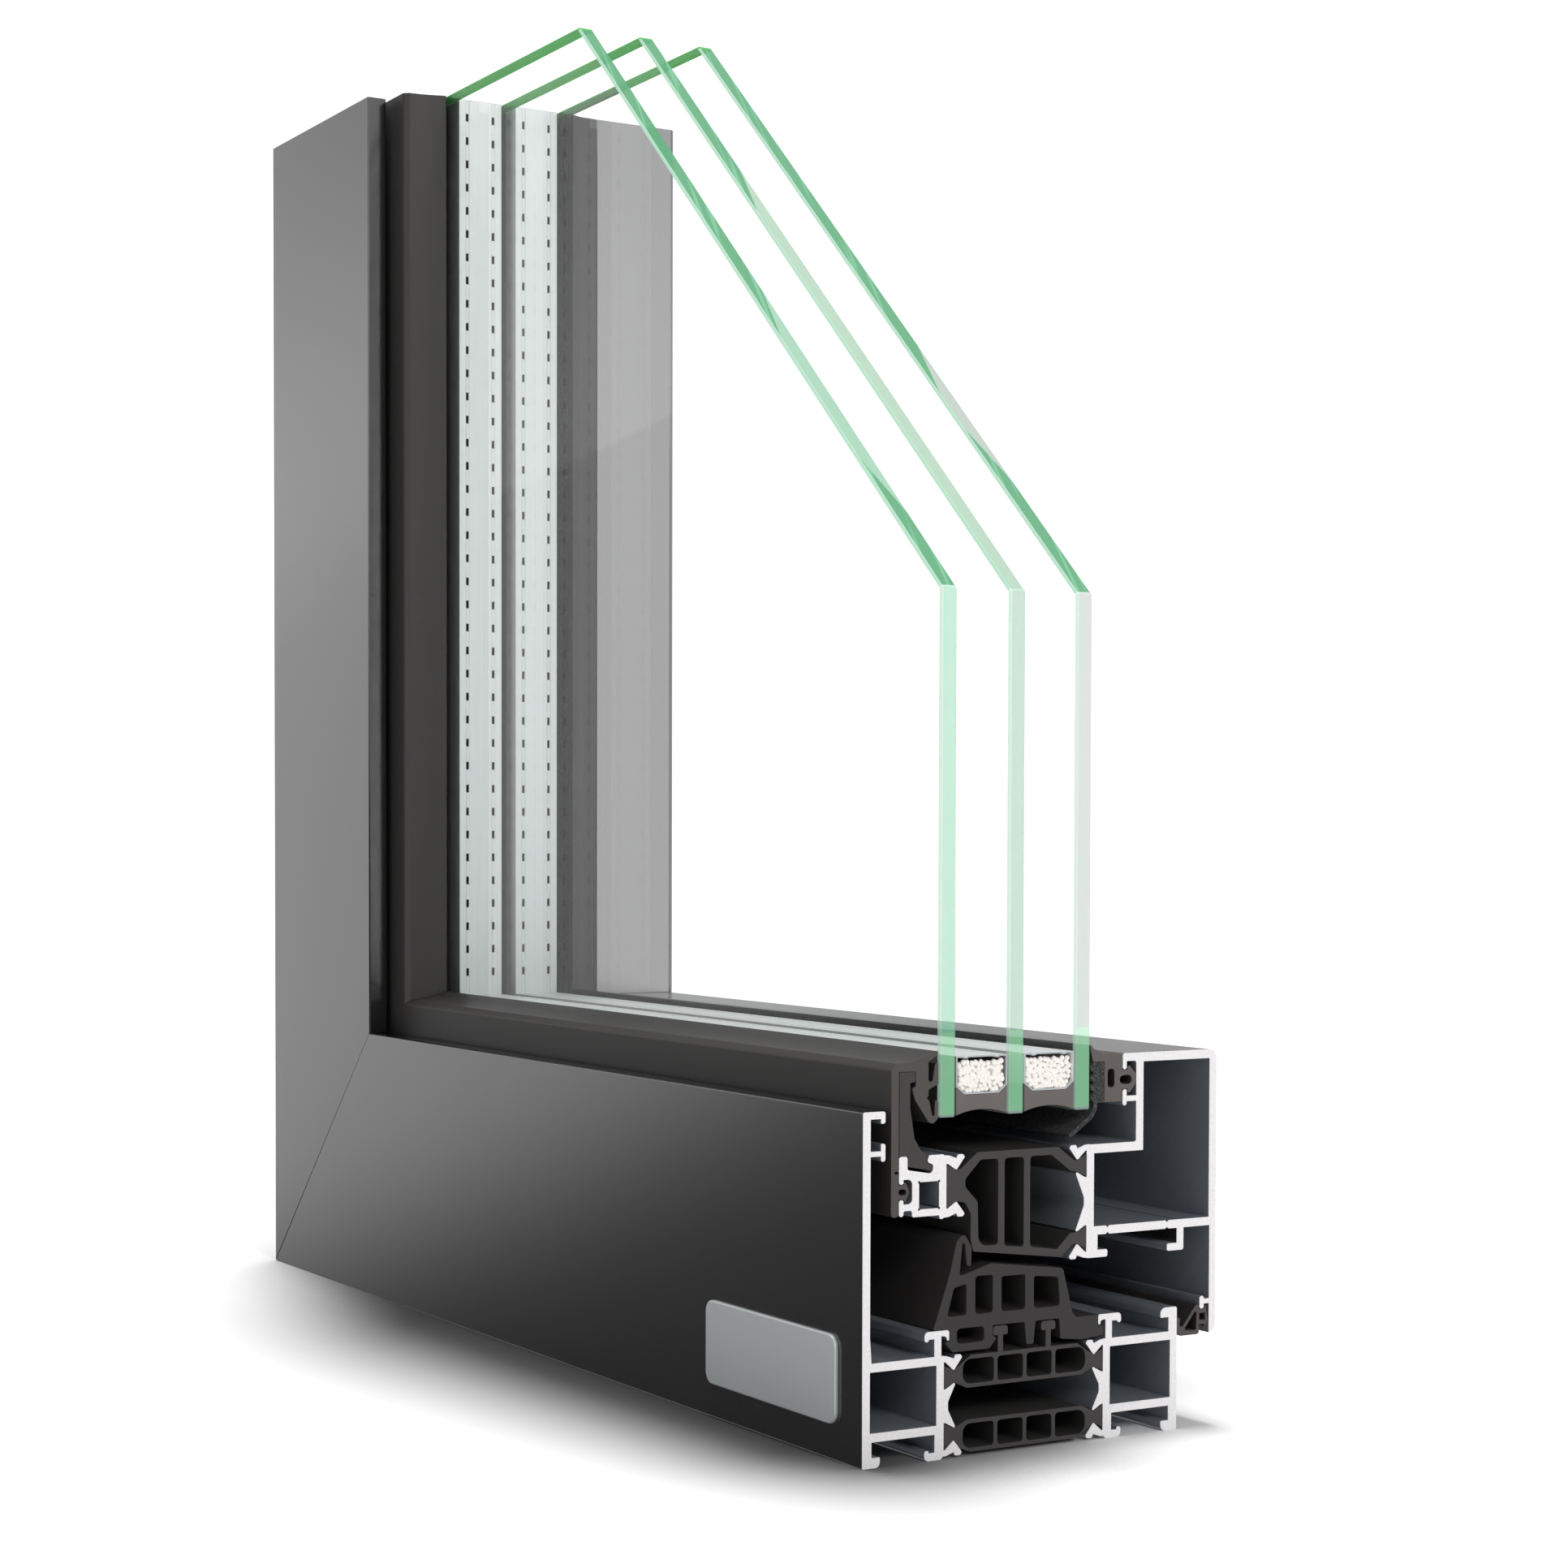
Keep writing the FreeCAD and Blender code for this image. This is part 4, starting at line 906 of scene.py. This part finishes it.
CLAY = bead_clay()
BEADS = bead_tree()
for number, place in enumerate(("outer", "inner")):
    name = f"{place}_desiccant"
    body = new_piece(f"{name}_body", filling(name, SETTLED, CREVICE))
    body.data.materials.append(CLAY)
    beads = new_piece(f"{name}_beads", end_faces(name))
    grown(beads, BEADS, {
        "Radius": BEAD_RADIUS,
        "Spacing": BEAD_SPACING,
        "Seed": BEAD_SEED + number,
        "Clay": CLAY,
    })
    for piece in (body, beads):
        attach(piece, "root")
    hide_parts(name)

# Badge on the front of the sill: a plain plate of satin metal with round corners and eased
# edges, stuck on near the sawn end.
PLATE_LEFT = 246.8 * MM + LEFT
PLATE_RIGHT = 297.4 * MM + LEFT
PLATE_LOW = 6.9 * MM
PLATE_HIGH = 24.2 * MM
PLATE_THICK = 0.8 * MM
PLATE_ROUND = 2.6 * MM
PLATE_EDGE = 0.3 * MM
PLATE_GREY = (188, 192, 193)
PLATE_SATIN = 5000.0
ROUND_STEPS = 8


def plate_metal():
    """Fine satin metal."""
    material, nodes = new_material("plate metal")
    satin = nodes.noise(nodes.point(), PLATE_SATIN)
    nodes.finish({
        "Base Color": nodes.mix(satin, paint(PLATE_GREY, -4), paint(PLATE_GREY, 4)),
        "Metallic": 0.2,
        "Roughness": 0.4,
        "Normal": nodes.bump(satin, FINE_RELIEF),
    })
    return material


def plate_mesh():
    """The plate, from the round of its first corner to its bevelled front."""
    right = PLATE_RIGHT - PLATE_ROUND
    left = PLATE_LEFT + PLATE_ROUND
    high = PLATE_HIGH - PLATE_ROUND
    low = PLATE_LOW + PLATE_ROUND
    bm = bmesh.new()
    rim = []
    for quarter, (middle_x, middle_z) in enumerate([(right, high), (left, high), (left, low), (right, low)]):
        for step in range(ROUND_STEPS + 1):
            angle = (quarter + step / ROUND_STEPS) * math.pi / 2
            x = middle_x + PLATE_ROUND * math.cos(angle)
            z = middle_z + PLATE_ROUND * math.sin(angle)
            rim.append(bm.verts.new((x, FRONT, z)))
    back = bm.faces.new(rim)
    raised = bmesh.ops.extrude_face_region(bm, geom=[back])["geom"]
    front = [item for item in raised if isinstance(item, bmesh.types.BMVert)]
    bmesh.ops.translate(bm, vec=(0, -PLATE_THICK, 0), verts=front)
    bmesh.ops.recalc_face_normals(bm, faces=bm.faces)
    front_rim = [edge for edge in bm.edges if all(vert.co.y < FRONT - PLATE_THICK / 2 for vert in edge.verts)]
    bevelled(bm, front_rim, PLATE_EDGE, segments=3, clamp=False)
    for face in bm.faces:
        face.smooth = len(face.verts) <= WALL_CORNERS
    mesh = bpy.data.meshes.new("plate")
    bm.to_mesh(mesh)
    bm.free()
    return mesh


plate = new_piece("plain_plate", plate_mesh())
plate.data.materials.append(plate_metal())
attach(plate, "root")

# Studio floor: plain and white. In front of the sample it takes a painted soft shadow that is
# widest near the corner and ends past the sawn face. Elsewhere a painted shade lies where the
# sample closes off the sky.
FLOOR_HALF = 6.0
FLOOR_WHITE = (0.9, 0.9, 0.9, 1.0)
FLOOR_SHADE = (0.06, 0.06, 0.06, 1.0)
FLOOR_BESIDE_SHADE = (0.35, 0.35, 0.35, 1.0)
SHADE_LEAN = 1.46
SHADE_WIDTH = 88 * MM
SHADE_NARROWS = 0.15
SHADE_FULL = 0.065
SHADE_BEGINS = (-38 * MM, 106 * MM)
SHADE_ENDS = (SILL_END - 25 * MM, SILL_END + 62 * MM)
SHADE_BACK = (FRONT, FRONT + 40 * MM)
CLOSED_WITHIN = 60 * MM
CLOSED_RANGE = (0.61, 0.90)
BESIDE_FROM = (FRONT - 15 * MM, FRONT + 5 * MM)
SAWN_FADE = 0.85
SAWN_FADE_X = (SILL_END - 70 * MM, SILL_END - 5 * MM)
SAWN_FADE_Y = (-10 * MM, 30 * MM)


def floor_white():
    """White, with a painted shadow in front of the sample and a painted shade beside and behind it."""
    material, nodes = new_material("floor white")
    x, y, z = nodes.place()
    out = FRONT - y
    along = x - LEFT - out * SHADE_LEAN
    depth = out / (SHADE_WIDTH - along * SHADE_NARROWS)
    begun = nodes.ramp(along, *SHADE_BEGINS)
    front = (1 - nodes.ramp(depth, SHADE_FULL, 1.0)) * (1 - nodes.ramp(x, *SHADE_ENDS))
    front = front * (1 - nodes.ramp(y, *SHADE_BACK)) * begun
    reach = {"Distance": CLOSED_WITHIN}
    openness = nodes.node("ShaderNodeAmbientOcclusion", {"samples": 12}, reach, 1)
    painted_beside_shade = (1 - nodes.ramp(openness, *CLOSED_RANGE)) * begun * nodes.ramp(y, *BESIDE_FROM)
    painted_beside_shade = painted_beside_shade * (1 - SAWN_FADE * nodes.ramp(x, *SAWN_FADE_X) * nodes.ramp(y, *SAWN_FADE_Y))
    pale = nodes.mix(front, nodes.mix(painted_beside_shade, FLOOR_WHITE, FLOOR_BESIDE_SHADE), FLOOR_SHADE)
    nodes.surface(nodes.node("ShaderNodeBsdfDiffuse", None, {"Color": pale}))
    return material


floor_mesh = bpy.data.meshes.new("floor")
corners = [(x * FLOOR_HALF, y * FLOOR_HALF, 0) for x, y in ((-1, -1), (1, -1), (1, 1), (-1, 1))]
floor_mesh.from_pydata(corners, [], [(0, 1, 2, 3)])
floor_mesh.materials.append(floor_white())
floor = new_piece("floor", floor_mesh)
floor.visible_glossy = False

# Studio sky and lamps: a white background, even light from all round, and two wide soft lamps.
# Gloss sees a soft box at the left, a dark curtain in front, and brighter walls behind and at
# the right, which shade the coated faces as in a photographer's studio.
SKY_WHITE = 1.25
SKY_AMBIENT = 0.42
CURTAIN = 0.06
SOFT_BOX = 0.96
SOFT_BOX_LEAN = 1.1
SOFT_BOX_RISE = (0.83, 0.905)
SOFT_BOX_LOSS = 0.3
SOFT_BOX_FADE = (0.12, 0.3)
FLASH = 1.8
FLASH_RISE = (1.1, 1.3)
BAND = 0.35
BAND_LEAN = 0.936
BAND_RISE = (0.952, 0.955)
BAND_FADE = (0.955, 1.08)
BEHIND = (-0.1, 0.15)
RIGHT_WALL = 2.3
RIGHT_RISE = (0.3, 0.8)
RIGHT_LOWEST = (-0.32, -0.2)
FAR_WALL = 0.5
FAR_RISE = (-0.3, 0.3)


def studio_sky():
    """White to the camera and through glass, even for light, and a studio for gloss."""
    world = bpy.data.worlds.new("studio")
    world.use_nodes = True
    nodes = Nodes(world.node_tree)
    x, y, z = nodes.split(nodes.node("ShaderNodeTexCoord", output="Generated"))
    soft_box = nodes.ramp(z - x * SOFT_BOX_LEAN, *SOFT_BOX_RISE)
    soft_box = soft_box * (1 - SOFT_BOX_LOSS * nodes.ramp(z, *SOFT_BOX_FADE)) * SOFT_BOX
    flash = nodes.ramp(x - y, *FLASH_RISE) * FLASH
    slope = z - x * BAND_LEAN
    band = nodes.ramp(slope, *BAND_RISE) * (1 - nodes.ramp(slope, *BAND_FADE)) * BAND
    before = CURTAIN + soft_box + band + flash
    behind = nodes.ramp(y, *BEHIND)
    far_wall = FAR_WALL + (1 - FAR_WALL) * nodes.ramp(x, *FAR_RISE)
    right_wall = nodes.ramp(x, *RIGHT_RISE) * nodes.ramp(z, *RIGHT_LOWEST) * behind * (RIGHT_WALL - 1)
    gleam = before + (far_wall - before) * behind + right_wall
    camera = nodes.node("ShaderNodeLightPath", output="Is Camera Ray")
    glossy = nodes.node("ShaderNodeLightPath", output="Is Glossy Ray")
    through = nodes.node("ShaderNodeLightPath", output="Is Transmission Ray")
    strength = SKY_AMBIENT + (gleam - SKY_AMBIENT) * glossy
    strength = strength + (SKY_WHITE - strength) * camera.larger(through)
    colour = {"Color": (1.0, 1.0, 1.0, 1.0), "Strength": strength}
    sky = nodes.node("ShaderNodeBackground", None, colour)
    nodes.node("ShaderNodeOutputWorld", None, {"Surface": sky})
    return world


def soft_sun(title, towards, spread, strength):
    """A far, wide lamp that stands in one direction and lights all of the floor alike."""
    lamp = bpy.data.lights.new(title, "SUN")
    lamp.angle = math.radians(spread)
    lamp.energy = strength
    holder = new_piece(title, lamp)
    holder.rotation_euler = Vector(towards).to_track_quat("Z", "Y").to_euler()


bpy.context.scene.world = studio_sky()
soft_sun("key", towards=(-0.08, 0.0, 1.0), spread=12, strength=2.4)
soft_sun("fill", towards=(0.8, 0.0, 0.5), spread=20, strength=1.25)

# Camera: it stands where the photograph was taken from, found by fitting the profile's own
# edges. Its focal length and its centre are in pixels of the square picture.
PICTURE = 1932
FOCAL = 3581.62
CENTRE_X = 959.58
CENTRE_Y = 1122.46
SENSOR = 36.0
NEAREST = 0.02
EYE = Vector((613.69, -334.46, 121.40)) * MM
YAW = math.radians(30.6947)
PITCH = math.radians(-1.6698)
ROLL = math.radians(0.1446)

ahead = Vector((-math.cos(YAW) * math.cos(PITCH), math.sin(YAW) * math.cos(PITCH), math.sin(PITCH)))
level = Vector((math.sin(YAW), math.cos(YAW), 0.0))
upright = level.cross(ahead)
right = level * math.cos(ROLL) + upright * math.sin(ROLL)
up = upright * math.cos(ROLL) - level * math.sin(ROLL)
lens = bpy.data.cameras.new("camera")
lens.sensor_width = SENSOR
lens.lens = FOCAL * SENSOR / PICTURE
lens.shift_x = (PICTURE / 2 - CENTRE_X) / PICTURE
lens.shift_y = (CENTRE_Y - PICTURE / 2) / PICTURE
lens.clip_start = NEAREST
camera = new_piece("camera", lens)
camera.matrix_world = Matrix.Translation(EYE) @ Matrix((right, up, -ahead)).transposed().to_4x4()
bpy.context.scene.camera = camera
bpy.context.scene.view_settings.view_transform = "Standard"
